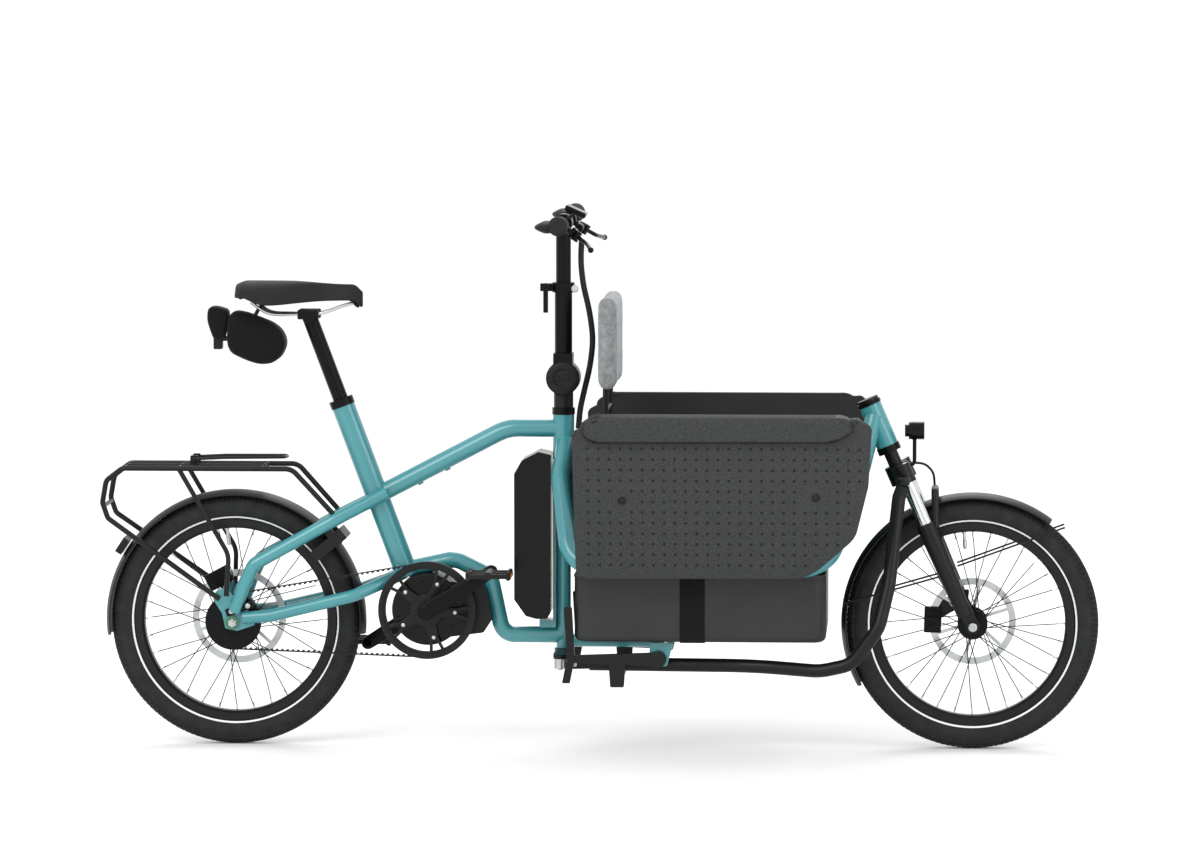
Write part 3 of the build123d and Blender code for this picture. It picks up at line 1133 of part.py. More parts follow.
def lever_axis():
    """The brake levers' turning axis."""
    return Vector(sin(radians(BRAKE_DROP)), 0, cos(radians(BRAKE_DROP)))


def brake_masters():
    """Both brake masters, clamped to the handlebar inboard of the grips."""
    side = -1
    body = bar_sleeve(side * (BRAKE_CLAMP_PLACE + 7.0), side * (BRAKE_CLAMP_PLACE - 7.0), BAR_RADIUS + 5.0)
    pivot = lever_pivot(side)
    axis = lever_axis()
    bar = bar_point(side * BRAKE_CLAMP_PLACE)
    ahead = (Vector(pivot.X, 0, pivot.Z) - Vector(bar.X, 0, bar.Z)).normalized()
    start = bar + ahead * (BAR_RADIUS + 3.0)
    body += rod(start, bar + ahead * 34.0, 6.5)
    inboard = Vector(0, 60.0, 0)
    body += rod(bar + ahead * 30.0, bar + ahead * 30.0 + inboard, 8.5)
    for sign in (-1, 1):
        ear = pivot + axis * (sign * 8.0)
        body += rod(ear - axis * 2.5, ear + axis * 2.5, 8.0)
        arm_foot = bar + ahead * 30.0 + axis * (sign * 8.0) + Vector(0, 4.0, 0)
        body += rod(arm_foot, ear, 3.2)
    body += rod(bar + ahead * 30.0 - axis * 10.5 + Vector(0, 4.0, 0),
                bar + ahead * 30.0 + axis * 10.5 + Vector(0, 4.0, 0), 6.0)
    body -= rod(pivot - axis * 20.0, pivot + axis * 20.0, LEVER_PIN_RADIUS + FIT_GAP)
    body -= rod(pivot - axis * 5.5, pivot + axis * 5.5, 14.0)
    body -= rod(bar_point(side * (BRAKE_CLAMP_PLACE + 30.0)), bar_point(side * (BRAKE_CLAMP_PLACE - 30.0)),
                BAR_RADIUS + SEAT_GAP)
    return both_sides(largest(body))


def brake_lever(side):
    """A brake lever's blade with its pin."""
    pivot = lever_pivot(-1)
    axis = lever_axis()
    ahead = Vector(cos(radians(BRAKE_DROP)), 0, -sin(radians(BRAKE_DROP)))
    out = Vector(0, -1, 0)
    body = rod(pivot - axis * 10.0, pivot + axis * 10.0, LEVER_PIN_RADIUS)
    body += rod(pivot - axis * 4.5, pivot + axis * 4.5, 9.0)
    path = [pivot + ahead * 3.0, pivot + ahead * 26.0 + out * 22.0, pivot + ahead * 34.0 + out * 60.0,
            pivot + ahead * 42.0 + out * (BRAKE_BLADE - 10.0)]
    body += pipe(path, [20.0, 60.0], 4.2)
    body += Pos(*path[-1]) * Sphere(6.0)
    return body if side < 0 else mirrored(body)


def display():
    """The display on its arm ahead of the bar clamp."""
    x, z = COLUMN_X + 26.0, BAR_HEIGHT + 24.0
    body = Pos(x, 0, z) * Rot(0, 24.0, 0) * Box(46.0, 64.0, 12.0)
    body = fillet(body.edges(), 3.0)
    arm = rod((COLUMN_X, -34.0, BAR_HEIGHT), (COLUMN_X, -26.0, BAR_HEIGHT), BAR_RADIUS + 4.5)
    arm += rod((COLUMN_X + 8.0, -30.0, BAR_HEIGHT + 8.0), (x, -28.0, z - 2.0), 4.0)
    return body + arm - rod((COLUMN_X, -60.0, BAR_HEIGHT), (COLUMN_X, 60.0, BAR_HEIGHT), BAR_RADIUS + SEAT_GAP)


def held_hose(points, radius, name):
    """A hose that is held at both ends, along runs that large arcs join."""
    points = [Vector(*point) for point in points]
    radii = []
    for before, here, after in zip(points, points[1:], points[2:]):
        turn = (here - before).get_angle(after - here)
        shorter = min((here - before).length, (after - here).length)
        radii.append(0.45 * shorter / tan(radians(turn) / 2))
    body = pipe(points, radii, radius)
    length = body.volume / (pi * radius * radius)
    print(f"{name}: length {length:.0f} mm, radii", [round(value) for value in radii])
    return body


def control_hoses():
    """The sleeve round the brake hoses and cables, from the handlebar to the frame."""
    x = COLUMN_X
    return held_hose([
        (x + 37.5, 5.0, 1052.0), (x + 35.5, 0.0, 1006.0), (x + 41.0, -3.0, 958.0), (x + 54.0, -2.0, 904.0),
        (x + 61.5, 2.0, 846.0), (x + 55.0, 4.0, 790.0), (x + 43.0, 3.0, 740.0), (x + 34.0, 0.0, 700.0),
        (x + 31.0, -2.0, 660.0),
    ], HOSE_SLEEVE_RADIUS, "control hoses")


def fork_hose():
    """The front brake's hose, from the crown round to the left leg's arch."""
    start = on_steer_axis(CROWN_FOOT + CROWN_HEIGHT * 0.7, CROWN_RADIUS + 4.0, 12.0)
    return held_hose([
        tuple(start), tuple(start + Vector(30.0, 8.0, -2.0)), tuple(start + Vector(48.0, 22.0, -22.0)),
        tuple(start + Vector(50.0, 34.0, -48.0)),
    ], 2.5, "fork hose")


# ================================================================ cargo box
def box_tub():
    """The open tub between the side loops, with the flange that hangs on them."""
    x0, x1 = BOX_BACK, BOX_FRONT - 95.0
    outer = block(x0, x1, -TUB_HALF_WIDTH, TUB_HALF_WIDTH, TUB_FOOT, TUB_RIM, 0)
    outer = fillet(outer.edges().filter_by(Axis.Z), 28.0)
    outer = fillet(outer.faces().sort_by(Axis.Z)[0].edges(), 14.0)
    inner = block(x0 + TUB_WALL, x1 - TUB_WALL, -TUB_HALF_WIDTH + TUB_WALL, TUB_HALF_WIDTH - TUB_WALL,
                  TUB_FOOT + TUB_WALL, TUB_RIM + 10.0, 0)
    inner = fillet(inner.edges().filter_by(Axis.Z), 28.0 - TUB_WALL)
    inner = fillet(inner.faces().sort_by(Axis.Z)[0].edges(), 14.0 - TUB_WALL)
    flange = block(x0, x1, -LOOP_SPREAD, LOOP_SPREAD, TUB_RIM - 4.0, TUB_RIM, 0)
    flange = fillet(flange.edges().filter_by(Axis.Z), 28.0)
    return outer + flange - inner


def tub_straps():
    """The two webbing straps that hang the tub on the loops."""
    x0, x1 = BOX_BACK + 217.0, BOX_BACK + 268.0
    gap = SEAT_GAP
    y, low = TUB_HALF_WIDTH + gap, TUB_FOOT - gap
    strap = block(x0, x1, -y - STRAP_THICKNESS, y + STRAP_THICKNESS, low - STRAP_THICKNESS, TUB_RIM - 4.0 - gap)
    strap = fillet(strap.edges().filter_by(Axis.X).group_by(Axis.Z)[0], 14.0 + STRAP_THICKNESS)
    hollow = block(x0 - 5.0, x1 + 5.0, -y, y, low, TUB_RIM + 10.0)
    hollow = fillet(hollow.edges().filter_by(Axis.X).group_by(Axis.Z)[0], 14.0)
    return strap - hollow


def tub_clips():
    """The clips over each loop that carry the tub's flange."""
    clips = []
    foot = TUB_RIM + SEAT_GAP
    for x in (BOX_BACK + 110.0, BOX_BACK + 385.0):
        clip = block(x - 30.0, x + 30.0, -LOOP_SPREAD - LOOP_RADIUS - 3.0, -LOOP_SPREAD + 5.0,
                     foot, LOOP_HEIGHT - 4.0)
        clip -= rod((x - 60.0, -LOOP_SPREAD, LOOP_HEIGHT), (x + 60.0, -LOOP_SPREAD, LOOP_HEIGHT),
                    LOOP_RADIUS + SEAT_GAP)
        clips.append(largest(clip))
    return both_sides(Compound(children=clips))


def box_end_walls():
    """The rear and front walls of the box."""
    half = END_WALL_HALF_WIDTH
    rear = block(BOX_BACK + 18.0, BOX_BACK + 18.0 + END_WALL_THICKNESS, -half, half, TUB_RIM + 0.5, PANEL_TOP - 60.0,
                 5.0)
    low, high = BOX_FRONT - 112.0, BOX_FRONT - 62.0
    front = side_plate([
        (low, TUB_RIM + 0.5), (low + END_WALL_THICKNESS, TUB_RIM + 0.5),
        (high + END_WALL_THICKNESS, PANEL_TOP - 40.0), (high, PANEL_TOP - 40.0),
    ], -FRONT_WALL_HALF_WIDTH, FRONT_WALL_HALF_WIDTH, 4.0)
    return group(rear, front)


def bench_seat():
    """The bench over the rear of the tub."""
    x0 = BOX_BACK + 18.0 + END_WALL_THICKNESS + 4.0
    return block(x0, BOX_BACK + BENCH_DEPTH, -TUB_HALF_WIDTH - 2.0, TUB_HALF_WIDTH + 2.0, TUB_RIM + 0.5,
                 BENCH_TOP, 3.0)


def backrest_hinges():
    """The two brackets on the bench that hold the backrest's pins."""
    brackets = []
    for side in (-1, 1):
        y = side * BACKREST_LEG_SPREAD
        for shift in (-9.0, 9.0):
            plate = side_plate([
                (BACKREST_X - 13.0, BENCH_TOP + SEAT_GAP), (BACKREST_X + 13.0, BENCH_TOP + SEAT_GAP),
                (BACKREST_X + 8.0, BACKREST_HINGE_Z + 8.0), (BACKREST_X - 8.0, BACKREST_HINGE_Z + 8.0),
            ], y + shift - 2.0, y + shift + 2.0, 3.0)
            plate -= disc(BACKREST_X, y, BACKREST_HINGE_Z, 4.0 + FIT_GAP, 60.0)
            brackets.append(plate)
    return group(*brackets)


def backrest_frame():
    """The two legs of the backrest with their hinge pins."""
    legs = None
    for side in (-1, 1):
        y = side * BACKREST_LEG_SPREAD
        leg = rod((BACKREST_X, y, BACKREST_HINGE_Z), (BACKREST_X, y, BACKREST_FOOT + 60.0), 6.0)
        leg += disc(BACKREST_X, y, BACKREST_HINGE_Z, 4.0, 24.0)
        legs = leg if legs is None else legs + leg
    return legs + rod((BACKREST_X, -BACKREST_LEG_SPREAD, BACKREST_FOOT - 40.0),
                      (BACKREST_X, BACKREST_LEG_SPREAD, BACKREST_FOOT - 40.0), 4.5)


def backrest_pad():
    """The felt-covered backrest."""
    half = BACKREST_HALF_WIDTH
    pad = side_plate([
        (BACKREST_X - 14.0, BACKREST_FOOT), (BACKREST_X + 20.0, BACKREST_FOOT),
        (BACKREST_X + 24.0, BACKREST_TOP), (BACKREST_X - 8.0, BACKREST_TOP),
    ], -half, half, 6.0)
    for side in (-1, 1):
        y = side * BACKREST_LEG_SPREAD
        pad -= rod((BACKREST_X, y, BACKREST_FOOT - 10.0), (BACKREST_X, y, BACKREST_FOOT + 60.0 + SEAT_GAP),
                   6.0 + SEAT_GAP)
    return pad


def side_panel():
    """The right side panel with its rolled lip, leaning out from its foot."""
    inner = PANEL_INNER
    x0, x1 = BOX_BACK + 2.0, BOX_FRONT
    slant = 1.0 / cos(radians(PANEL_LEAN))
    high = PANEL_FOOT + (PANEL_TOP - PANEL_FOOT) * slant
    body = side_plate([
        (x0 + 2.0, high - 44.0), (x0, PANEL_FOOT + 36.0), (x0 + 22.0, PANEL_FOOT + 8.0), (x0 + 46.0, PANEL_FOOT),
        (x1 - 148.0, PANEL_FOOT), (x1 - 66.0, PANEL_FOOT + 46.0), (x1 - 20.0, PANEL_FOOT + 108.0),
        (x1, high - 26.0), (x1 - 8.0, high - 8.0), (x1 - 32.0, high), (x0 + 72.0, high),
    ], -inner, -inner - PANEL_THICKNESS, 6.0)
    lip = block(x0 + 48.0, x1 - 30.0, -inner - PANEL_THICKNESS - PANEL_LIP_BULGE, -inner - 2.0,
                high - PANEL_LIP_DEPTH * slant, high, 6.0)
    body = body + lip
    hinge = Axis((0, -inner, PANEL_FOOT), (1, 0, 0))
    return body.rotate(hinge, PANEL_LEAN)


# ================================================================ stand
def kickstand():
    """The centre stand's two legs, their feet and the bar between them."""
    bar_x, bar_z = STAND_X - 84.0, STAND_Z - 46.0
    body = rod((bar_x, -STAND_LEG_PLANE, bar_z), (bar_x, STAND_LEG_PLANE, bar_z), 10.0)
    foot_x = COLUMN_X + 20.0
    for side in (-1, 1):
        y0 = side * (STAND_LEG_PLANE - 5.0)
        y1 = side * (STAND_LEG_PLANE + 5.0)
        pin_end = side * (STAND_EAR_PLANE - EAR_THICKNESS / 2 - 2.0)
        body += rod((STAND_X, pin_end, STAND_Z), (STAND_X, y1, STAND_Z), STAND_PIN_RADIUS)
        body += disc(STAND_X, side * STAND_LEG_PLANE, STAND_Z, 17.0, 10.0)
        body += side_plate([
            (STAND_X, STAND_Z - 14.0), (STAND_X, STAND_Z + 14.0), (foot_x, STAND_Z + 7.0), (foot_x, STAND_Z - 8.0),
        ], y0, y1)
        body += side_plate([
            (foot_x - 10.0, STAND_Z + 106.0), (foot_x + 6.0, STAND_Z + 106.0), (foot_x + 12.0, STAND_Z),
            (foot_x + 2.0, STAND_Z - 50.0), (foot_x - 14.0, STAND_Z - 50.0), (foot_x - 4.0, STAND_Z),
        ], side * (STAND_LEG_PLANE - 8.0), side * (STAND_LEG_PLANE + 8.0), 2.0)
        body += side_plate([(bar_x - 14.0, bar_z - 12.0), (bar_x - 18.0, STAND_Z), (bar_x + 18.0, STAND_Z),
                            (bar_x + 14.0, bar_z - 12.0)], y0 - side, y1 + side, 3.0)
    return body


# ================================================================ assembly
def build():
    """Every node of the bicycle, by name."""
    core = main_tube_core()
    head_core = front_head_core()
    loop_shape = box_loops(core, head_core)
    stays = rear_stays(core)
    stays_solid = both_sides(stay_core())
    rear_guard = fender(REAR_X, *REAR_FENDER_SPAN)
    nodes = {
        "frame_main_tubes": group(main_tubes(core), battery_mount()),
        "frame_rear_stays": stays,
        "frame_box_loops": group(loop_shape, front_head(head_core), floor_rail(core)),
        "headset_cups": headset_cups(),
        "motor_unit": motor_unit(core),
        "battery": battery(),
        "drive_belt": drive_belt(),
        "front_pulley": front_pulley(),
        "rear_pulley": rear_pulley(),
        "crank_set": crank_set(),
        "pedal_right": pedal(-1),
        "pedal_left": pedal(1),
        "seat_collar": seat_collar(),
        "seatpost": seatpost(),
        "saddle": group(saddle(), rail_line(-1, SADDLE_RAIL_RADIUS), rail_line(1, SADDLE_RAIL_RADIUS)),
        "saddle_bag": saddle_bag(),
        "rack_frame": group(rack_frame(stays_solid), *clamp_ears()),
        "rack_clamp": rack_clamp(),
        "rear_fender": group(rear_guard, rear_lamp()),
        "ring_lock": ring_lock(stays_solid, rear_guard),
        "rear_axle": axle_with_nuts(REAR_X, REAR_HUB_WIDTH / 2 + DROPOUT_THICKNESS, AXLE_STUB),
        "fork_crown": fork_crown(),
        "fork_stanchions": fork_stanchions(),
        "fork_lowers": group(fork_lowers(), axle_with_nuts(FRONT_X, FORK_SPREAD + FORK_TAB / 2, 0.0)),
        "front_fender": group(fender(FRONT_X, *FRONT_FENDER_SPAN), fender_stays()),
        "front_brake": caliper(FRONT_X, FRONT_ROTOR_PLANE, FRONT_CALIPER_TURN, FRONT_ROTOR_RADIUS),
        "rear_brake": caliper(REAR_X, REAR_ROTOR_PLANE, REAR_CALIPER_TURN, REAR_ROTOR_RADIUS),
        "headlight": headlight() - fork_crown(),
        "fork_hose": fork_hose(),
        "steering_column": steering_column(),
        "rod_knuckle": rod_knuckle(),
        "steering_rod": steering_rod(),
        "mast_outer": mast_outer(),
        "mast_clamp_lever": mast_clamp_lever(),
        "mast_inner": mast_inner(),
        "handlebar": handlebar(),
        "grips": grips(),
        "brake_masters": brake_masters(),
        "brake_lever_right": brake_lever(-1),
        "brake_lever_left": brake_lever(1),
        "twist_shifter": bar_sleeve(-SHIFTER_PLACE - 15.0, -SHIFTER_PLACE + 15.0, BAR_RADIUS + 6.5,
                                    BAR_RADIUS + FIT_GAP),
        "display": display(),
        "control_hoses": control_hoses(),
        "box_tub": box_tub(),
        "tub_hangers": group(tub_straps(), tub_clips()),
        "box_end_walls": box_end_walls(),
        "bench_seat": group(bench_seat(), backrest_hinges()),
        "backrest_frame": backrest_frame(),
        "backrest_pad": backrest_pad(),
        "side_panel_right": side_panel(),
        "side_panel_left": mirrored(side_panel()),
        "kickstand": kickstand(),
    }
    nodes.update(wheel_nodes("front", FRONT_X, False))
    nodes.update(wheel_nodes("rear", REAR_X, True))
    return nodes


if __name__ == "__main__":
    os.makedirs("parts", exist_ok=True)
    for name, shape in build().items():
        export_step(shape, f"parts/{name}.step")
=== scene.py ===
"""Cargo bicycle: the visible pieces, finishes and studio, laid out as an add-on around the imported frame."""

import json
from math import atan2, cos, hypot, pi, radians, sin, tan

import bmesh
import bpy
from bpy.props import FloatProperty, FloatVectorProperty, IntProperty, PointerProperty
from mathutils import Matrix, Vector
from mathutils.bvhtree import BVHTree


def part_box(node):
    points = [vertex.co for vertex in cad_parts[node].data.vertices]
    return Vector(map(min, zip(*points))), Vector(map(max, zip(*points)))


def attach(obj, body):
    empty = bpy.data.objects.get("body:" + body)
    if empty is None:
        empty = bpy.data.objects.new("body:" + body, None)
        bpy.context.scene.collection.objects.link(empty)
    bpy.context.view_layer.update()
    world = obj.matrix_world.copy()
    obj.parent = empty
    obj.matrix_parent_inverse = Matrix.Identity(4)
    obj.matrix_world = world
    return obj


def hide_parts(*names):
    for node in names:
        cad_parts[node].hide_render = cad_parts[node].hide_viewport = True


bl_info = {
    "name": "Cargo bicycle",
    "version": (1, 0, 0),
    "blender": (4, 5, 0),
    "location": "3D View > Sidebar > Bicycle",
    "description": "Adds the visible pieces, finishes and studio of a front-loading cargo bicycle",
    "category": "Add Mesh",
}

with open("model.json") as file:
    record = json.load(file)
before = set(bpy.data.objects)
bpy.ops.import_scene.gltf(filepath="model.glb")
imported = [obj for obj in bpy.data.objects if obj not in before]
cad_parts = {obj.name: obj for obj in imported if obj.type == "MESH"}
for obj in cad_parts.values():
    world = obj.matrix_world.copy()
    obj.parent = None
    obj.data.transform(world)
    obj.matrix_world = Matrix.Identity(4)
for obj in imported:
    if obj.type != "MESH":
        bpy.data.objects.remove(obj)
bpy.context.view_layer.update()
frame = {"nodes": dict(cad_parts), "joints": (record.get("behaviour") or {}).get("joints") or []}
NODES = frame["nodes"]
JOINTS = {joint["name"]: joint for joint in frame["joints"]}
MM = 0.001
POLE = 0.0001  # the radius where a turned profile meets its axis


def joint_place(name):
    """A joint's point in metres."""
    return Vector(JOINTS[name]["pos_m"])


FRONT_AXLE = joint_place("front_wheel_spin")
REAR_AXLE = joint_place("rear_wheel_spin")
BRACKET = joint_place("crank_spin")
COLUMN = joint_place("steering")
MAST_HINGE = joint_place("mast_tilt")
TYRE_LOW, TYRE_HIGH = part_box("front_tyre")
TYRE_RADIUS = (TYRE_HIGH.z - TYRE_LOW.z) / 2
TYRE_HALF = (TYRE_HIGH.y - TYRE_LOW.y) / 2


# ---------------------------------------------------------------- colours and node helpers
def hex_colour(code):
    """An sRGB hex colour as linear red, green, blue and alpha."""
    parts = [int(code[i:i + 2], 16) / 255 for i in (1, 3, 5)]
    linear = [c / 12.92 if c <= 0.04045 else ((c + 0.055) / 1.055) ** 2.4 for c in parts]
    return (*linear, 1.0)


def add_node(tree, kind, settings=None, inputs=None, links=None):
    """Adds a node with its settings, its input values and links from other nodes' sockets."""
    node = tree.nodes.new(kind)
    for name, value in (settings or {}).items():
        setattr(node, name, value)
    for name, value in (inputs or {}).items():
        node.inputs[name].default_value = value
    for name, socket in (links or {}).items():
        tree.links.new(socket, node.inputs[name])
    return node


def start_material(name):
    """An empty node material with its shader and its object coordinates."""
    material = bpy.data.materials.new(name)
    material.use_nodes = True
    tree = material.node_tree
    shader = tree.nodes["Principled BSDF"]
    place = add_node(tree, "ShaderNodeTexCoord").outputs["Object"]
    return material, tree, shader, place


def bump(tree, shader, height, strength, distance):
    """Feeds a height into the shader's normal."""
    node = add_node(tree, "ShaderNodeBump", inputs={"Strength": strength, "Distance": distance},
                    links={"Height": height})
    tree.links.new(node.outputs["Normal"], shader.inputs["Normal"])
    return node


def ramp(tree, factor, stops):
    """A colour ramp from (position, hex colour) stops."""
    node = add_node(tree, "ShaderNodeValToRGB", links={"Fac": factor})
    elements = node.color_ramp.elements
    elements[0].position, elements[0].color = stops[0][0], hex_colour(stops[0][1])
    elements[1].position, elements[1].color = stops[-1][0], hex_colour(stops[-1][1])
    for position, code in stops[1:-1]:
        elements.new(position).color = hex_colour(code)
    return node.outputs["Color"]


def speckle(tree, place, scale, detail=2.0):
    """A fine noise from object coordinates."""
    return add_node(tree, "ShaderNodeTexNoise", inputs={"Scale": scale, "Detail": detail},
                    links={"Vector": place}).outputs["Fac"]


# ---------------------------------------------------------------- materials
def powder_coat(name, base, tint, roughness, coat, gloss=0.5):
    """Powder coat over aluminium tube: an even colour with a faint orange peel under a clear coat."""
    material, tree, shader, place = start_material(name)
    drift = speckle(tree, place, 1 / (180 * MM))
    colour = ramp(tree, drift, [(0.35, base), (0.65, tint)])
    tree.links.new(colour, shader.inputs["Base Color"])
    shader.inputs["Roughness"].default_value = roughness
    shader.inputs["IOR"].default_value = 1.5
    shader.inputs["Specular IOR Level"].default_value = gloss
    shader.inputs["Coat Weight"].default_value = coat
    shader.inputs["Coat Roughness"].default_value = 0.06
    peel = speckle(tree, place, 1 / (2.2 * MM))
    bump(tree, shader, peel, 0.05, 0.2 * MM)
    return material


def moulded_plastic(name, base, tint, roughness, grain_mm, depth, gloss=0.2):
    """Injection-moulded ABS: dark and slightly uneven, with a fine spark-eroded grain."""
    material, tree, shader, place = start_material(name)
    drift = speckle(tree, place, 1 / (60 * MM), 3.0)
    tree.links.new(ramp(tree, drift, [(0.3, base), (0.7, tint)]), shader.inputs["Base Color"])
    grain = speckle(tree, place, 1 / (grain_mm * MM))
    limits = {"To Min": roughness - 0.06, "To Max": roughness + 0.06}
    rough = add_node(tree, "ShaderNodeMapRange", inputs=limits, links={"Value": drift}).outputs["Result"]
    tree.links.new(rough, shader.inputs["Roughness"])
    shader.inputs["IOR"].default_value = 1.54
    shader.inputs["Specular IOR Level"].default_value = gloss
    bump(tree, shader, grain, depth, 0.15 * MM)
    return material


def metal(name, base, tint, roughness, grain_mm, metallic=1.0):
    """Metal with a fine directional or blasted finish: its roughness varies along the grain."""
    material, tree, shader, place = start_material(name)
    grain = speckle(tree, place, 1 / (grain_mm * MM), 3.0)
    tree.links.new(ramp(tree, grain, [(0.35, base), (0.65, tint)]), shader.inputs["Base Color"])
    shader.inputs["Metallic"].default_value = metallic
    limits = {"To Min": roughness - 0.05, "To Max": roughness + 0.08}
    rough = add_node(tree, "ShaderNodeMapRange", inputs=limits, links={"Value": grain}).outputs["Result"]
    tree.links.new(rough, shader.inputs["Roughness"])
    bump(tree, shader, grain, 0.04, 0.1 * MM)
    return material


def rubber(name, base, tint, roughness, gloss=0.25):
    """Vulcanised rubber: near black, matt, with a faint bloom."""
    material, tree, shader, place = start_material(name)
    bloom = speckle(tree, place, 1 / (25 * MM), 4.0)
    tree.links.new(ramp(tree, bloom, [(0.35, base), (0.7, tint)]), shader.inputs["Base Color"])
    shader.inputs["Roughness"].default_value = roughness
    shader.inputs["Specular IOR Level"].default_value = gloss
    bump(tree, shader, speckle(tree, place, 1 / (1.2 * MM)), 0.08, 0.2 * MM)
    return material


def expanded_foam(name, base, tint):
    """Moulded expanded polypropylene: its fused beads show as a coarse bump."""
    material, tree, shader, place = start_material(name)
    beads = add_node(tree, "ShaderNodeTexVoronoi", {"feature": "F1"}, {"Scale": 1 / (4.5 * MM)},
                     {"Vector": place})
    drift = speckle(tree, place, 1 / (3.0 * MM), 2.0)
    colour = ramp(tree, drift, [(0.3, base), (0.72, tint)])
    tree.links.new(colour, shader.inputs["Base Color"])
    shader.inputs["Roughness"].default_value = 0.72
    shader.inputs["Specular IOR Level"].default_value = 0.2
    shader.inputs["IOR"].default_value = 1.49
    bump(tree, shader, beads.outputs["Distance"], 0.25, 0.8 * MM)
    return material


def woven(name, base, tint, thread_mm, sheen):
    """Woven polyester: two crossed sets of threads, a little lighter where they rise."""
    material, tree, shader, place = start_material(name)
    warp = add_node(tree, "ShaderNodeTexWave", {"bands_direction": "X"},
                    {"Scale": 1 / (thread_mm * MM) / 6.28, "Distortion": 1.2, "Detail": 2.0},
                    {"Vector": place}).outputs["Fac"]
    weft = add_node(tree, "ShaderNodeTexWave", {"bands_direction": "Z"},
                    {"Scale": 1 / (thread_mm * MM) / 6.28, "Distortion": 1.2, "Detail": 2.0},
                    {"Vector": place}).outputs["Fac"]
    both = add_node(tree, "ShaderNodeMath", {"operation": "MULTIPLY"}).outputs["Value"]
    tree.links.new(warp, both.node.inputs[0])
    tree.links.new(weft, both.node.inputs[1])
    tree.links.new(ramp(tree, both, [(0.1, base), (0.8, tint)]), shader.inputs["Base Color"])
    shader.inputs["Roughness"].default_value = 0.85
    shader.inputs["Specular IOR Level"].default_value = 0.15
    shader.inputs["Sheen Weight"].default_value = sheen
    bump(tree, shader, both, 0.3, 0.3 * MM)
    return material


def wool_felt(name, base, tint):
    """Pressed wool felt: mottled fibres in two greys."""
    material, tree, shader, place = start_material(name)
    fibres = speckle(tree, place, 1 / (3.0 * MM), 6.0)
    clumps = speckle(tree, place, 1 / (14 * MM), 4.0)
    mix = add_node(tree, "ShaderNodeMath", {"operation": "ADD"})
    tree.links.new(fibres, mix.inputs[0])
    tree.links.new(clumps, mix.inputs[1])
    half = add_node(tree, "ShaderNodeMath", {"operation": "MULTIPLY"}, {1: 0.5}, {0: mix.outputs["Value"]})
    colour = ramp(tree, half.outputs["Value"], [(0.38, base), (0.62, tint)])
    tree.links.new(colour, shader.inputs["Base Color"])
    shader.inputs["Roughness"].default_value = 0.95
    shader.inputs["Sheen Weight"].default_value = 0.3
    bump(tree, shader, fibres, 0.4, 0.6 * MM)
    return material


def glow_line(name, base):
    """A reflective strip of glass beads: pale and slightly rough."""
    material, tree, shader, place = start_material(name)
    beads = speckle(tree, place, 1 / (0.8 * MM))
    tree.links.new(ramp(tree, beads, [(0.2, base), (0.8, "#f4f5f5")]), shader.inputs["Base Color"])
    shader.inputs["Roughness"].default_value = 0.35
    return material


def clear_lens(name, tint, roughness):
    """A moulded lens: clear or tinted polycarbonate with fine flutes behind it."""
    material, tree, shader, place = start_material(name)
    flutes = add_node(tree, "ShaderNodeTexWave", {"bands_direction": "Z"}, {"Scale": 1 / (14 * MM)},
                      {"Vector": place}).outputs["Fac"]
    tree.links.new(ramp(tree, flutes, [(0.2, tint), (0.9, tint)]), shader.inputs["Base Color"])
    shader.inputs["Roughness"].default_value = roughness
    shader.inputs["Coat Weight"].default_value = 0.8
    bump(tree, shader, flutes, 0.3, 0.5 * MM)
    return material


# Gloss powder coat on aluminium tube: a deep teal with sharp, narrow highlights.
TEAL = powder_coat("powder_coat_teal", "#37838a", "#3c8b91", 0.26, 0.45)
# Satin powder coat on steel: near black, its highlights spread wide.
SATIN_BLACK = powder_coat("powder_coat_black", "#0c0d0d", "#111213", 0.4, 0.06, 0.22)
# Gloss ABS: the deepest black, with a clean edge of light along each curve.
GLOSS_ABS = moulded_plastic("abs_gloss_black", "#08090a", "#0c0c0d", 0.2, 1.2, 0.03, 0.16)
# Spark-eroded ABS: black with a soft grey bloom.
SATIN_ABS = moulded_plastic("abs_satin_black", "#0f1011", "#161718", 0.42, 0.9, 0.12, 0.2)
# Rotomoulded polyethylene: a waxy charcoal, its light soft and broad.
TUB_PLASTIC = moulded_plastic("polyethylene_tub_black", "#1b1c1c", "#222324", 0.45, 1.1, 0.16, 0.35)
# Black anodised aluminium: metal under a black skin, so its highlights stay dark.
ANODISED = metal("anodised_aluminium_black", "#101112", "#18191a", 0.36, 1.5, 0.85)
# Brushed aluminium: pale, with a fine drag along the light.
BRUSHED = metal("brushed_aluminium", "#b9bcbe", "#cfd2d3", 0.3, 0.6)
# Stainless steel: a mid grey metal for bolts, spoke nipples and axles.
STEEL = metal("stainless_steel", "#a6a9ab", "#c4c7c8", 0.28, 0.8)
# Hard chrome on the fork tubes: the brightest and sharpest reflection.
CHROME = metal("chromed_steel", "#c9ccce", "#dadcdd", 0.12, 3.0)
# Vulcanised tyre rubber: matt charcoal.
TYRE_RUBBER = rubber("tyre_rubber", "#1a1b1c", "#252627", 0.74)
# Soft grip rubber: a little darker and smoother than the tyre.
GRIP_RUBBER = rubber("moulded_grip_rubber", "#141516", "#1b1c1d", 0.62)
# Expanded polypropylene: matt charcoal with a visible bead.
FOAM = expanded_foam("expanded_polypropylene", "#2d2e2f", "#404142")
# The same foam where the tool pressed it hard: darker and closed. It also serves as painted shade: the dark
# shadow line along the underside of each panel's lip.
FOAM_SKIN_AND_LIP_SHADE = moulded_plastic("pressed_foam_skin_and_lip_shade", "#111213", "#18191a", 0.5, 2.0, 0.2, 0.2)
# Polyester webbing: black, with a coarse thread that catches the light.
WEBBING = woven("polyester_webbing_black", "#0b0c0c", "#1a1b1c", 1.6, 0.05)
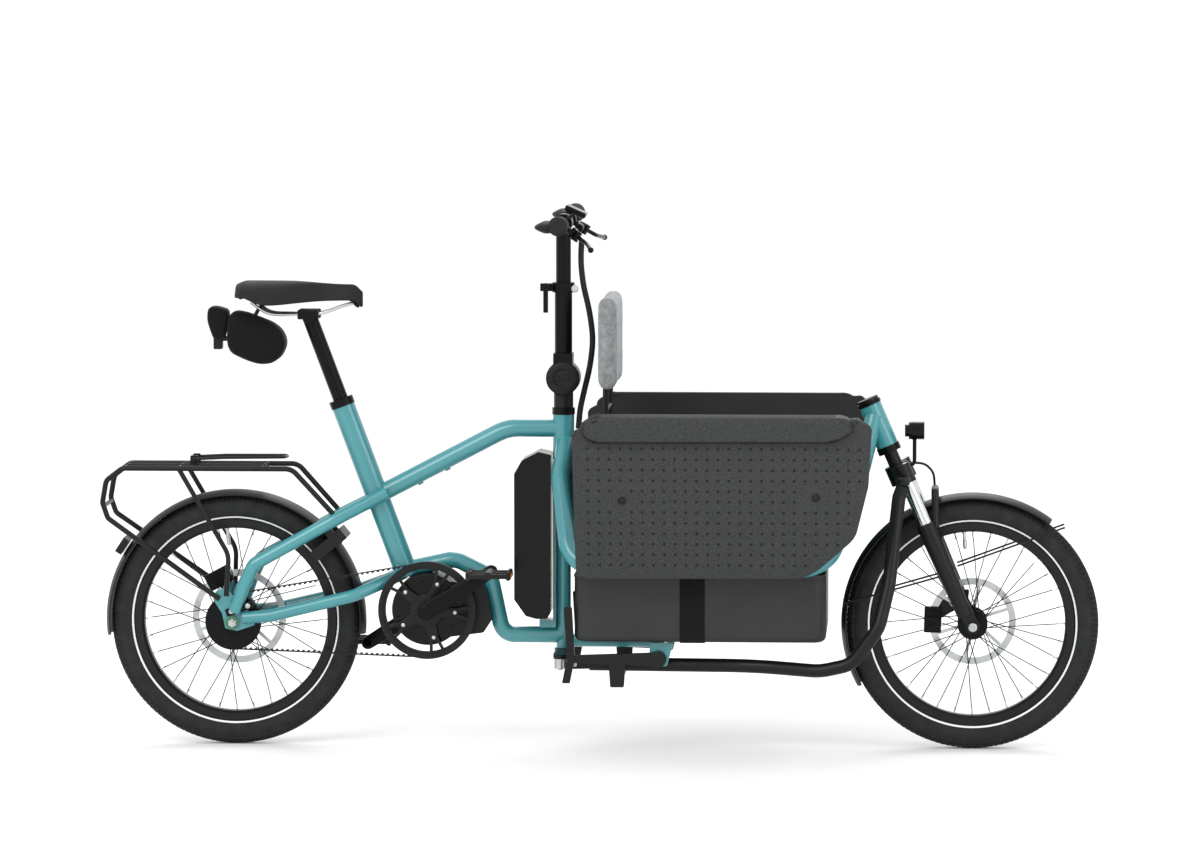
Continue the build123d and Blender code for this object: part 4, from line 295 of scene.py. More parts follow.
# Polyester bag cloth: a tight black weave.
BAG_CLOTH = woven("polyester_bag_cloth", "#090a0a", "#151617", 0.9, 0.06)
# Pressed wool felt: mottled grey and dry.
FELT = wool_felt("pressed_wool_felt", "#6d7072", "#8e9193")
# Microfibre saddle cover: black and matt, with a fine leather grain.
SADDLE_COVER = moulded_plastic("saddle_microfibre", "#0c0d0d", "#131415", 0.6, 1.4, 0.22, 0.25)
# Glass beads in a strip: nearly white.
REFLECTIVE = glow_line("reflective_strip", "#e3e5e6")
# Amber polycarbonate: a warm lens over a fluted back.
AMBER = clear_lens("amber_reflector", "#e0791c", 0.25)
# Clear polycarbonate: the pale front of the lamp.
LAMP_GLASS = clear_lens("lamp_lens_clear", "#c9cfd2", 0.12)
# Green enamel: the one bright ring at the hub.
GREEN = powder_coat("enamel_green", "#1f6b3f", "#257a49", 0.35, 0.4)

NODE_FINISH = {
    "frame_main_tubes": TEAL, "frame_rear_stays": TEAL, "frame_box_loops": TEAL, "headset_cups": ANODISED,
    "motor_unit": SATIN_ABS, "drive_belt": GRIP_RUBBER, "seat_collar": ANODISED, "rack_frame": SATIN_BLACK,
    "rear_fender": SATIN_ABS, "ring_lock": SATIN_ABS, "rear_axle": STEEL, "rear_brake": ANODISED,
    "box_tub": TUB_PLASTIC, "tub_hangers": WEBBING, "box_end_walls": FOAM, "bench_seat": FOAM,
    "battery": GLOSS_ABS, "rear_tyre": TYRE_RUBBER, "rear_rim": SATIN_BLACK, "rear_spokes": ANODISED,
    "rear_hub": ANODISED, "rear_pulley": ANODISED, "crank_set": ANODISED, "front_pulley": SATIN_ABS,
    "pedal_right": SATIN_ABS, "pedal_left": SATIN_ABS, "seatpost": ANODISED, "saddle": SADDLE_COVER,
    "saddle_bag": BAG_CLOTH, "steering_column": SATIN_BLACK, "control_hoses": GRIP_RUBBER,
    "rod_knuckle": STEEL,
    "steering_rod": SATIN_BLACK, "mast_outer": ANODISED, "mast_clamp_lever": ANODISED, "mast_inner": ANODISED,
    "handlebar": SATIN_BLACK, "grips": GRIP_RUBBER, "brake_masters": ANODISED, "display": GLOSS_ABS,
    "brake_lever_right": ANODISED, "brake_lever_left": ANODISED, "twist_shifter": GRIP_RUBBER,
    "fork_crown": SATIN_BLACK, "fork_stanchions": CHROME, "headlight": GLOSS_ABS, "fork_hose": GRIP_RUBBER,
    "fork_lowers": SATIN_BLACK, "front_fender": SATIN_ABS, "front_brake": ANODISED, "front_tyre": TYRE_RUBBER,
    "front_rim": SATIN_BLACK, "front_spokes": ANODISED, "front_hub": ANODISED, "kickstand": SATIN_BLACK,
    "side_panel_right": FOAM, "side_panel_left": FOAM, "backrest_frame": SATIN_BLACK, "backrest_pad": FELT,
    "rack_clamp": SATIN_BLACK,
}


# ---------------------------------------------------------------- mesh helpers
def finish_piece(name, mesh_source, body, material, replaces=(), smooth=True, sharp=35.0):
    """Makes an object from a bmesh, gives it its finish and lets it ride on its body."""
    mesh = bpy.data.meshes.new(name)
    mesh_source.to_mesh(mesh)
    mesh_source.free()
    piece = bpy.data.objects.new(name, mesh)
    bpy.context.scene.collection.objects.link(piece)
    mesh.materials.append(material)
    if smooth:
        mesh.shade_smooth()
        mesh.set_sharp_from_angle(angle=radians(sharp))
    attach(piece, body)
    if replaces:
        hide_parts(*replaces)
    return piece


def outward(shape):
    """Merges doubles and turns all faces outwards."""
    bmesh.ops.remove_doubles(shape, verts=shape.verts, dist=1e-6)
    bmesh.ops.recalc_face_normals(shape, faces=shape.faces)
    return shape


def joined(*shapes):
    """Several bmeshes in one."""
    total = bmesh.new()
    for shape in shapes:
        scratch = bpy.data.meshes.new("scratch")
        shape.to_mesh(scratch)
        shape.free()
        total.from_mesh(scratch)
        bpy.data.meshes.remove(scratch)
    return total


def lathe(profile, centre, steps, axis=(0, 1, 0)):
    """Spins a closed outline of (radius, along) points about an axis through centre."""
    shape = bmesh.new()
    turn = Vector((0, 0, 1)).rotation_difference(Vector(axis)).to_matrix().to_4x4()
    corners = [shape.verts.new((radius, 0, along)) for radius, along in profile]
    edges = [shape.edges.new((a, b)) for a, b in zip(corners, corners[1:] + corners[:1])]
    bmesh.ops.spin(shape, geom=corners + edges, axis=(0, 0, 1), cent=(0, 0, 0), steps=steps, angle=2 * pi,
                   use_merge=True)
    outward(shape)
    bmesh.ops.transform(shape, matrix=Matrix.Translation(centre) @ turn, verts=shape.verts)
    return shape


def soft_block(low, high, bevel, segments=3, turn=None):
    """A box between two corners with rounded edges."""
    low, high = Vector(low), Vector(high)
    shape = bmesh.new()
    bmesh.ops.create_cube(shape, size=1.0)
    size = high - low
    bmesh.ops.scale(shape, vec=size, verts=shape.verts)
    if bevel:
        bmesh.ops.bevel(shape, geom=shape.edges[:], offset=bevel, segments=segments, profile=0.5,
                        affect="EDGES", material=-1)
    place = Matrix.Translation((low + high) / 2)
    if turn is not None:
        place = place @ turn.to_4x4()
    bmesh.ops.transform(shape, matrix=place, verts=shape.verts)
    return shape


def tube(points, radius, sides=12, resolution=6, order=3, caps=True):
    """A round tube along the smooth line of some control points, as a bmesh."""
    curve = bpy.data.curves.new("line", "CURVE")
    curve.dimensions = "3D"
    curve.bevel_depth = radius
    curve.bevel_resolution = max(1, sides // 4 - 1)
    curve.use_fill_caps = caps
    kind = "POLY" if order == 2 else "NURBS"
    spline = curve.splines.new(kind)
    spline.points.add(len(points) - 1)
    for point, place in zip(spline.points, points):
        point.co = (*place, 1.0)
    if kind == "NURBS":
        spline.order_u = min(order, len(points))
        spline.use_endpoint_u = True
        spline.resolution_u = resolution
    holder = bpy.data.objects.new("line", curve)
    mesh = bpy.data.meshes.new_from_object(holder)
    shape = bmesh.new()
    shape.from_mesh(mesh)
    bpy.data.objects.remove(holder)
    bpy.data.curves.remove(curve)
    bpy.data.meshes.remove(mesh)
    bmesh.ops.remove_doubles(shape, verts=shape.verts, dist=1e-6)
    return shape


def plate(outline, y_low, y_high, bevel=0.0, segments=2):
    """A plate with an outline of (x, z) points between two widths."""
    shape = bmesh.new()
    corners = [shape.verts.new((x, y_low, z)) for x, z in outline]
    face = shape.faces.new(corners)
    grown = bmesh.ops.extrude_face_region(shape, geom=[face])
    moved = [item for item in grown["geom"] if isinstance(item, bmesh.types.BMVert)]
    bmesh.ops.translate(shape, vec=(0, y_high - y_low, 0), verts=moved)
    bmesh.ops.recalc_face_normals(shape, faces=shape.faces)
    if bevel:
        bmesh.ops.bevel(shape, geom=shape.edges[:], offset=bevel, segments=segments, profile=0.5,
                        affect="EDGES", material=-1)
    return shape


def bolt(place, axis, radius, height):
    """A button-head bolt with a hex socket, its head standing along axis."""
    rise = height
    head = lathe([(POLE, 0), (radius, 0), (radius, rise * 0.45), (radius * 0.8, rise * 0.85),
                  (radius * 0.5, rise), (radius * 0.5, rise * 0.4), (POLE, rise * 0.4)],
                 Vector(place), 12, axis)
    return head


def polar(centre, radius, angle, y=0.0):
    """A point at an angle round a wheel's centre."""
    return Vector((centre.x + radius * cos(angle), y, centre.z + radius * sin(angle)))


def smooth_step(value):
    """An eased step from 0 to 1."""
    value = min(1.0, max(0.0, value))
    return value * value * (3 - 2 * value)


def skin_of(piece):
    """A finished piece's surface, to lay seams on."""
    mesh = piece.data
    points = [vert.co for vert in mesh.vertices]
    return BVHTree.FromPolygons(points, [face.vertices for face in mesh.polygons])


def repaint(node, material, chosen):
    """Gives a second finish to the faces of a CAD node whose centres pass a test."""
    mesh = NODES[node].data
    mesh.materials.append(material)
    index = len(mesh.materials) - 1
    for face in mesh.polygons:
        if chosen(face.center):
            face.material_index = index


def from_axis(point, centre):
    """Distance of a point from an axis along Y through centre."""
    return hypot(point.x - centre.x, point.z - centre.z)


# ---------------------------------------------------------------- wheels
TREAD_DEPTH = 2.2 * MM
TREAD_HALF_ANGLE = radians(54)
BEAD_ANGLE = radians(146)
CARCASS_WALL = 4.0 * MM
STRIPE_INNER, STRIPE_OUTER = 212.5 * MM, 216.0 * MM
RIM_INNER = 191.0 * MM
SPOKE_COUNT = 32


def section_points(radius, low, high, steps, centre_radius):
    """Points on an arc of the tyre's section, from one angle to another."""
    turns = [low + (high - low) * i / steps for i in range(steps + 1)]
    return [(centre_radius + radius * cos(turn), radius * sin(turn)) for turn in turns]


def tyre_shape(centre, steps):
    """A carcass with raised tread blocks and closed beads."""
    middle = TYRE_RADIUS - TYRE_HALF
    outer = TYRE_HALF - TREAD_DEPTH
    profile = section_points(outer, -BEAD_ANGLE, BEAD_ANGLE, 26, middle)
    profile += section_points(outer - CARCASS_WALL, BEAD_ANGLE, -BEAD_ANGLE, 10, middle)
    shape = lathe(profile, centre, steps)
    blocks = []
    for face in shape.faces:
        place = face.calc_center_median()
        rise, side = from_axis(place, centre) - middle, place.y - centre.y
        if hypot(rise, side) > outer - 1.0 * MM and abs(atan2(side, rise)) < TREAD_HALF_ANGLE:
            blocks.append(face)
    bmesh.ops.inset_individual(shape, faces=blocks, thickness=1.1 * MM, depth=TREAD_DEPTH)
    return shape


def stripe_shape(centre, side):
    """The thin reflective line on one sidewall."""
    middle = TYRE_RADIUS - TYRE_HALF
    skin = TYRE_HALF - TREAD_DEPTH
    profile = []
    for lift, radii in ((0.5 * MM, (STRIPE_INNER, STRIPE_OUTER)), (-0.6 * MM, (STRIPE_OUTER, STRIPE_INNER))):
        for radius in radii:
            along = (skin ** 2 - (middle - radius) ** 2) ** 0.5 + lift
            profile.append((radius, side * along))
    return lathe(profile, centre, 144)


def nipple_shapes(centre):
    """A spoke nipple at each spoke, and the tyre valve."""
    shapes = []
    for i in range(SPOKE_COUNT):
        angle = 2 * pi * i / SPOKE_COUNT
        place = polar(centre, RIM_INNER, angle, (-3 if i % 2 else 3) * MM)
        inwards = (-cos(angle), 0, -sin(angle))
        shapes.append(lathe([(POLE, 0), (2.6 * MM, 0), (2.6 * MM, 1.4 * MM), (1.9 * MM, 2 * MM),
                             (1.7 * MM, 13 * MM), (POLE, 13 * MM)], place, 8, inwards))
    angle = 2 * pi * 8.5 / SPOKE_COUNT
    place = polar(centre, RIM_INNER, angle)
    inwards = (-cos(angle), 0, -sin(angle))
    shapes.append(lathe([(POLE, 0), (5 * MM, 0), (5 * MM, 3 * MM), (3.2 * MM, 4 * MM), (3.2 * MM, 18 * MM),
                         (4.4 * MM, 19 * MM), (4.4 * MM, 33 * MM), (3.4 * MM, 36 * MM), (POLE, 36 * MM)],
                        place, 14, inwards))
    return shapes


def make_wheel(end, centre, body, steps):
    """The tyre with its tread and line, and the nipples, of one wheel."""
    finish_piece(f"{end}_tyre_tread", tyre_shape(centre, steps), body, TYRE_RUBBER,
                 (f"{end}_tyre",), sharp=28)
    stripes = joined(stripe_shape(centre, -1), stripe_shape(centre, 1))
    finish_piece(f"{end}_tyre_line", stripes, body, REFLECTIVE)
    finish_piece(f"{end}_nipples", joined(*nipple_shapes(centre)), body, BRUSHED)


# ---------------------------------------------------------------- saddle
def saddle_half_width(along, widest):
    """Half the saddle's width, from its tail at 0 to its nose at 1."""
    nose = 0.24 * widest
    half = nose + (widest - nose) * (1 - smooth_step((along - 0.22) / 0.5))
    if along < 0.14:
        half *= 0.72 + 0.28 * (1 - ((0.14 - along) / 0.14) ** 2) ** 0.5
    if along > 0.88:
        half *= 0.3 + 0.7 * max(0.0, 1 - ((along - 0.88) / 0.12) ** 2) ** 0.5
    return half


def saddle_drop(along):
    """How far the saddle's side edge hangs below its top line."""
    return (26 + 21 * smooth_step(along / 0.26) - 14 * smooth_step((along - 0.3) / 0.6)) * MM


def saddle_sheet(scale, lift, flatten):
    """The saddle's curved top as a sheet, scaled and lowered for the shell under it."""
    low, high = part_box("saddle")
    shape = bmesh.new()
    bmesh.ops.create_grid(shape, x_segments=48, y_segments=28, size=1.0)
    for vert in shape.verts:
        along, across = (vert.co.x + 1) / 2, vert.co.y
        half = saddle_half_width(along, high.y - 1 * MM) * scale
        nose = 7 * MM * smooth_step((along - 0.4) / 0.5) + 16 * MM * smooth_step((along - 0.9) / 0.1) ** 2
        tail = 7 * MM * (1 - smooth_step(along / 0.1)) ** 2
        edge = saddle_drop(along) * flatten * abs(across) ** 3.0
        channel = 4.0 * MM * max(0.0, 1 - (across / 0.16) ** 2) * smooth_step((along - 0.04) / 0.2) * (
            1 - smooth_step((along - 0.62) / 0.25))
        vert.co = (low.x + (high.x - low.x) * (0.5 + (along - 0.5) * scale), across * half,
                   high.z - 1 * MM - nose - tail - edge - channel + lift)
    return shape


def saddle_shape():
    """The padded cover: a sheet with turned-down sides and a relief channel, given its thickness."""
    shape = saddle_sheet(1.0, 0.0, 1.0)
    bmesh.ops.recalc_face_normals(shape, faces=shape.faces)
    bmesh.ops.solidify(shape, geom=shape.faces[:], thickness=5 * MM)
    return outward(shape)


def saddle_base_shape():
    """The moulded shell below the padding."""
    shape = saddle_sheet(0.93, -12 * MM, 0.62)
    bmesh.ops.recalc_face_normals(shape, faces=shape.faces)
    bmesh.ops.solidify(shape, geom=shape.faces[:], thickness=3 * MM)
    return outward(shape)


def make_saddle():
    """The saddle's cover, shell and rails."""
    low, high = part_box("saddle")
    cover = finish_piece("saddle_cover", saddle_shape(), "seat", SADDLE_COVER, ("saddle",))
    cover.modifiers.new("Round", "SUBSURF").levels = 1
    cover.modifiers["Round"].render_levels = 1
    finish_piece("saddle_shell", saddle_base_shape(), "seat", SATIN_ABS)
    rails = []
    for side in (-1, 1):
        rails.append(tube([
            (low.x + 34 * MM, side * 38 * MM, low.z + 30 * MM),
            (low.x + 52 * MM, side * 30 * MM, low.z + 14 * MM),
            (low.x + 72 * MM, side * 22 * MM, low.z + 4.5 * MM),
            (low.x + 100 * MM, side * 22 * MM, low.z + 3.5 * MM),
            (low.x + 165 * MM, side * 22 * MM, low.z + 3.5 * MM),
            (low.x + 190 * MM, side * 21 * MM, low.z + 9 * MM),
            (high.x - 40 * MM, side * 13 * MM, low.z + 22 * MM),
            (high.x - 22 * MM, side * 9 * MM, low.z + 26 * MM),
        ], 3.5 * MM))
    finish_piece("saddle_rails", joined(*rails), "seat", STEEL)


# ---------------------------------------------------------------- soft goods
def inflate(piece, pressure, most, last=20):
    """Swells a closed piece as stuffed cloth, keeping each point within a distance of its start."""
    remesh = piece.modifiers.new("Remesh", "REMESH")
    remesh.mode = "VOXEL"
    remesh.voxel_size = 5 * MM
    scene = bpy.context.scene
    scene.frame_set(1)
    depsgraph = bpy.context.evaluated_depsgraph_get()
    mesh = bpy.data.meshes.new_from_object(piece.evaluated_get(depsgraph))
    piece.modifiers.clear()
    piece.data = mesh
    rest = [vert.co.copy() for vert in mesh.vertices]
    cloth = piece.modifiers.new("Cloth", "CLOTH")
    cloth.settings.use_pressure = True
    cloth.settings.uniform_pressure_force = pressure
    cloth.settings.effector_weights.gravity = 0.0
    for step in range(1, last + 1):
        scene.frame_set(step)
    depsgraph = bpy.context.evaluated_depsgraph_get()
    swollen = bpy.data.meshes.new_from_object(piece.evaluated_get(depsgraph))
    piece.modifiers.clear()
    for vert, start in zip(swollen.vertices, rest):
        shift = vert.co - start
        if shift.length > most:
            vert.co = start + shift * (most / shift.length)
    piece.data = swollen
    scene.frame_set(1)
    piece.data.shade_smooth()
    return piece


def clamp_to(piece, low, high):
    """Keeps a soft piece inside a box."""
    for vert in piece.data.vertices:
        vert.co = Vector([min(h, max(l, c)) for c, l, h in zip(vert.co, low, high)])


BAG_POUCH = ((0.32, 0.94), (0.69, 0.77), (0.89, 0.66), (0.99, 0.44), (0.97, 0.24), (0.87, 0.06), (0.72, 0.0),
             (0.56, 0.04), (0.42, 0.13), (0.28, 0.21), (0.24, 0.42), (0.27, 0.8))
BAG_ROLL = ((0.01, 0.96), (0.08, 1.0), (0.27, 0.93), (0.26, 0.75), (0.21, 0.42), (0.08, 0.42), (0.0, 0.75))


def cloth_object(name, shape, body, material, pressure, most, limits):
    """A padded object from a starting shape, swollen and kept inside its limits."""
    mesh = bpy.data.meshes.new(name)
    shape.to_mesh(mesh)
    shape.free()
    piece = bpy.data.objects.new(name, mesh)
    bpy.context.scene.collection.objects.link(piece)
    inflate(piece, pressure, most)
    clamp_to(piece, *limits)
    piece.data.materials.clear()
    piece.data.materials.append(material)
    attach(piece, body)
    return piece


def make_saddle_bag():
    """The pouch and the rolled tail of the bag under the saddle, with its strap, buckle and seam."""
    low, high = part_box("saddle_bag")
    size = high - low
    middle = (low + high) / 2
    limits = (low - Vector((3, 3, 3)) * MM, high + Vector((3, 3, 3)) * MM)
    for name, outline, half, bevel in (("saddle_bag_pouch", BAG_POUCH, 34 * MM, 13 * MM),
                                       ("saddle_bag_roll", BAG_ROLL, 27 * MM, 8 * MM)):
        places = [(low.x + u * size.x, low.z + v * size.z) for u, v in outline]
        shape = plate(places, -half, half, bevel, 3)
        bag = cloth_object(name, shape, "seat", BAG_CLOTH, 4.0, 6 * MM, limits)
        if name == "saddle_bag_pouch":
            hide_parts("saddle_bag")
            skin = skin_of(bag)
    seams = []
    heart = Vector((low.x + 0.62 * size.x, 0, low.z + 0.42 * size.z))
    for side in (-1, 1):
        ring = []
        for i in range(41):
            turn = 2 * pi * i / 40
            ray = Vector((cos(turn), 0, sin(turn)))
            hit = skin.ray_cast(heart + Vector((0, side * 29 * MM, 0)) + ray * 0.3, -ray)[0]
            if hit is not None:
                ring.append(hit - ray * 0.4 * MM)
        seams.append(tube(ring, 1.3 * MM))
    finish_piece("saddle_bag_seams", joined(*seams), "seat", WEBBING)
    tail = low.x + 0.13 * size.x
    buckle = soft_block((tail - 9 * MM, -14 * MM, low.z + 0.26 * size.z),
                        (tail + 9 * MM, 14 * MM, low.z + 0.46 * size.z), 2.5 * MM)
    strap = soft_block((tail + 2 * MM, -12 * MM, low.z + 0.4 * size.z), (low.x + 0.3 * size.x, 12 * MM,
                       low.z + 0.48 * size.z), 1.5 * MM)
    hooks = []
    for side in (-1, 1):
        hooks.append(tube([
            (middle.x + 14 * MM, side * 16 * MM, high.z - 24 * MM),
            (middle.x + 26 * MM, side * 22 * MM, high.z + 6 * MM),
            (middle.x + 44 * MM, side * 22 * MM, high.z + 5 * MM),
        ], 3 * MM))
    finish_piece("saddle_bag_buckle", joined(buckle, strap, *hooks), "seat", SATIN_ABS)


def make_backrest():
    """The felt cushion on the backrest's frame, with a sewn cross seam."""
    low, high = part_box("backrest_pad")
    inset = Vector((4, 4, 4)) * MM
    shape = soft_block(low + inset, high - inset, 10 * MM, 3)
    pad = cloth_object("backrest_cushion", shape, "back_cushion", FELT, 4.0, 5 * MM,
                       (low - inset / 2, high + inset / 2))
    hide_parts("backrest_pad")
    skin = skin_of(pad)
    seams = []
    for rise in (0.36, 0.7):
        for ahead in (-1, 1):
            line = []
            for step in range(15):
                y = (low.y + 14 * MM) + (high.y - low.y - 28 * MM) * step / 14
                start = Vector(((low.x + high.x) / 2 + ahead * 0.3, y, low.z + (high.z - low.z) * rise))
                hit = skin.ray_cast(start, Vector((-ahead, 0, 0)))[0]
                if hit is not None:
                    line.append(hit)
            if len(line) > 3:
                seams.append(tube(line, 1.1 * MM))
    finish_piece("backrest_seams", joined(*seams), "back_cushion", FELT)


# ---------------------------------------------------------------- box
DOT_PITCH = 22 * MM
DOT_RADIUS = 3.3 * MM
FACING_IN = 0.5
LIP_SHADE_FACING_DOWN = 0.45
LIP_HEIGHT = 78 * MM
RIVETS = ((60.5, 536.0), (453.5, 544.0))


def panel_dots(side, skin, low, high):
    """The raised dots moulded in a grid over one side panel's outer face."""
    outwards = Vector((0, side, 0))
    start_y = side * 1.0
    shape = bmesh.new()
    columns = int((high.x - low.x) / DOT_PITCH)
    rows = int((high.z - low.z - LIP_HEIGHT) / DOT_PITCH)
    reach = 11 * MM
    for column in range(columns + 1):
        for row in range(rows + 1):
            x, z = low.x + (column + 0.5) * DOT_PITCH, low.z + (row + 0.5) * DOT_PITCH
            near = []
            for dx, dz in ((0, 0), (reach, 0), (-reach, 0), (0, reach), (0, -reach)):
                near.append(skin.ray_cast(Vector((x + dx, start_y, z + dz)), -outwards))
            if any(hit[0] is None for hit in near):
                continue
            if any((hit[1] - near[0][1]).length > 0.05 for hit in near):
                continue
            if any(hypot(x - rx * MM, z - rz * MM) < 26 * MM for rx, rz in RIVETS):
                continue
            place, normal = near[0][0], near[0][1]
            turn = Vector((0, 0, 1)).rotation_difference(normal).to_matrix().to_4x4()
            flat = Matrix.Diagonal((1, 1, 0.45, 1))
            bmesh.ops.create_icosphere(shape, subdivisions=1, radius=DOT_RADIUS,
                                       matrix=Matrix.Translation(place) @ turn @ flat)
    return shape


def rivet_shape(side, skin):
    """The two recessed fixings of a side panel, each a cup ring with a bolt in it."""
    shapes = []
    for x, z in RIVETS:
        place, normal = skin.ray_cast(Vector((x * MM, side * 1.0, z * MM)), Vector((0, -side, 0)))[:2]
        if place is None:
            continue
        shapes.append(lathe([(5 * MM, -1 * MM), (9 * MM, -1 * MM), (9 * MM, 0.5 * MM), (8 * MM, 1.2 * MM),
                             (6 * MM, 1 * MM), (5 * MM, -0.5 * MM)], place, 28, normal))
        shapes.append(bolt(place - normal * 0.8 * MM, normal, 4.6 * MM, 1.6 * MM))
    return joined(*shapes)


PANEL_LEAN = radians(13.4)
PANEL_FOOT = Vector((0.0, 0.216, 0.374))
PANEL_THICKNESS = 22 * MM


def rounded_outline(corners, steps=7):
    """An outline of (x, z, radius) corners with each corner turned into an arc."""
    points = []
    count = len(corners)
    for i, (x, z, radius) in enumerate(corners):
        here = Vector((x, z))
        back = (Vector(corners[i - 1][:2]) - here).normalized()
        ahead = (Vector(corners[(i + 1) % count][:2]) - here).normalized()
        half = back.angle(ahead) / 2
        run = radius / tan(half)
        start, end = here + back * run, here + ahead * run
        heart = here + (back + ahead).normalized() * (radius / sin(half))
        first = atan2(start.y - heart.y, start.x - heart.x)
        sweep = (atan2(end.y - heart.y, end.x - heart.x) - first + pi) % (2 * pi) - pi
        for step in range(steps + 1):
            turn = first + sweep * step / steps
            points.append((heart.x + radius * cos(turn), heart.y + radius * sin(turn)))
    return points


def panel_shape(side):
    """A foam side panel: a rounded slab with a rolled lip along its top, leaning outwards."""
    low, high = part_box("side_panel_right")
    x0, x1 = low.x, high.x
    foot = PANEL_FOOT.z
    top = foot + (high.z - low.z - 4 * MM) / cos(PANEL_LEAN)
    slab = rounded_outline([
        (x0 + 1 * MM, top - 40 * MM, 16 * MM), (x0 + 6 * MM, foot + 2 * MM, 24 * MM),
        (x1 - 130 * MM, foot + 4 * MM, 95 * MM), (x1 - 34 * MM, foot + 92 * MM, 60 * MM),
        (x1 - 8 * MM, top - 150 * MM, 90 * MM), (x1 - 1 * MM, top - 26 * MM, 18 * MM),
        (x1 - 30 * MM, top - 8 * MM, 12 * MM), (x0 + 60 * MM, top - 8 * MM, 30 * MM),
    ])
    roll = rounded_outline([
        (x0 + 12 * MM, top - 26 * MM, 16 * MM), (x0 + 40 * MM, top - 56 * MM, 26 * MM),
        (x1 - 78 * MM, top - 54 * MM, 40 * MM), (x1 - 22 * MM, top - 22 * MM, 16 * MM),
        (x1 - 58 * MM, top - 1 * MM, 40 * MM), (x0 + 46 * MM, top - 1 * MM, 26 * MM),
    ])
    inner = PANEL_FOOT.y
    body = plate(slab, -inner - PANEL_THICKNESS, -inner, 5 * MM, 3)
    lip = plate(roll, -inner - PANEL_THICKNESS - 15 * MM, -inner - 1 * MM, 8 * MM, 4)
    shape = joined(body, lip)
    turn = Matrix.Rotation(PANEL_LEAN, 4, "X")
    hinge = Matrix.Translation((0, -inner, foot))
    bmesh.ops.transform(shape, matrix=hinge @ turn @ hinge.inverted(), verts=shape.verts)
    if side > 0:
        bmesh.ops.scale(shape, vec=(1, -1, 1), verts=shape.verts)
        bmesh.ops.reverse_faces(shape, faces=shape.faces)
    return shape


def make_panels():
    """Both side panels with their dot grid and fixings, a dark skin on their inner faces and painted shade
    under their lips.
    """
    for name, side in (("right", -1), ("left", 1)):
        shape = panel_shape(side)
        skin = BVHTree.FromBMesh(shape)
        low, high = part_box(f"side_panel_{name}")
        panel = finish_piece(f"panel_{name}", shape, f"{name}_side", FOAM,
                             (f"side_panel_{name}",), sharp=60)
        panel.data.materials.append(FOAM_SKIN_AND_LIP_SHADE)
        lip_foot = high.z - LIP_HEIGHT
        for face in panel.data.polygons:
            inside = face.normal.y * side < -FACING_IN
            # Painted shade: faces under the lip that face down take the dark skin, as the shadow line under
            # the lip.
            painted_lip_shade = face.normal.z < -LIP_SHADE_FACING_DOWN and face.center.z > lip_foot
            face.material_index = int(inside or painted_lip_shade)
        finish_piece(f"panel_dots_{name}", panel_dots(side, skin, low, high), f"{name}_side", FOAM_SKIN_AND_LIP_SHADE)
        finish_piece(f"panel_fixings_{name}", rivet_shape(side, skin), f"{name}_side", SATIN_ABS)


# ---------------------------------------------------------------- drive
BELT_PITCH = 11 * MM
FRONT_TEETH = 56
REAR_TEETH = 32
BELT_PLANE = -50 * MM
BELT_WIDTH = 12 * MM
FRONT_BELT_RADIUS = FRONT_TEETH * BELT_PITCH / (2 * pi)
REAR_BELT_RADIUS = REAR_TEETH * BELT_PITCH / (2 * pi)
CRANK_LENGTH = 160 * MM
CRANK_ANGLE = radians(32)
CRANK_PLANE = 87 * MM


def belt_line(gap):
    """The closed line of a belt that runs a gap outside both pulleys."""
    front, rear = FRONT_BELT_RADIUS + gap, REAR_BELT_RADIUS + gap
    run = hypot(BRACKET.x - REAR_AXLE.x, BRACKET.z - REAR_AXLE.z)
    slope = atan2(BRACKET.z - REAR_AXLE.z, BRACKET.x - REAR_AXLE.x)
    spread = pi / 2 + atan2(rear - front, run)
    points = []
    for centre, radius, start, end in ((BRACKET, front, slope - spread, slope + spread),
                                       (REAR_AXLE, rear, slope + spread, slope + 2 * pi - spread)):
        for i in range(61):
            points.append(polar(centre, radius, start + (end - start) * i / 60))
    return points


def evenly(points, spacing):
    """Places and directions at even steps along a closed line."""
    runs = [(b - a) for a, b in zip(points, points[1:] + points[:1])]
    total = sum(run.length for run in runs)
    count = round(total / spacing)
    places, travelled, index = [], 0.0, 0
    for step in range(count):
        way = total * step / count
        while travelled + runs[index].length < way:
            travelled += runs[index].length
            index += 1
        part = (way - travelled) / runs[index].length
        places.append((points[index] + runs[index] * part, runs[index].normalized()))
    return places


def belt_shape():
    """The belt's band with a tooth at each pitch on its inner side."""
    shape = bmesh.new()
    outer, inner = belt_line(3.0 * MM), belt_line(1.2 * MM)
    low = BELT_PLANE - BELT_WIDTH / 2
    corners = [[shape.verts.new((p.x, low, p.z)) for p in line] for line in (outer, inner)]
    faces = []
    count = len(outer)
    for i in range(count):
        after = (i + 1) % count
        faces.append(shape.faces.new((corners[0][i], corners[0][after], corners[1][after], corners[1][i])))
    grown = bmesh.ops.extrude_face_region(shape, geom=faces)
    moved = [item for item in grown["geom"] if isinstance(item, bmesh.types.BMVert)]
    bmesh.ops.translate(shape, vec=(0, BELT_WIDTH, 0), verts=moved)
    bmesh.ops.recalc_face_normals(shape, faces=shape.faces)
    for place, run in evenly(belt_line(0.0), BELT_PITCH):
        turn = Matrix.Rotation(-atan2(run.z, run.x), 4, "Y")
        place = Matrix.Translation((place.x, BELT_PLANE, place.z)) @ turn
        size = Matrix.Diagonal((5 * MM, BELT_WIDTH - 1 * MM, 3.2 * MM, 1))
        tooth = bmesh.ops.create_cube(shape, size=1.0, matrix=place @ size)
        edges = {edge for vert in tooth["verts"] for edge in vert.link_edges}
        along = [edge for edge in edges if abs((edge.verts[0].co - edge.verts[1].co).y) > 5 * MM]
        bmesh.ops.bevel(shape, geom=along, offset=1 * MM, segments=1, profile=0.5, affect="EDGES",
                        material=-1)
    return shape


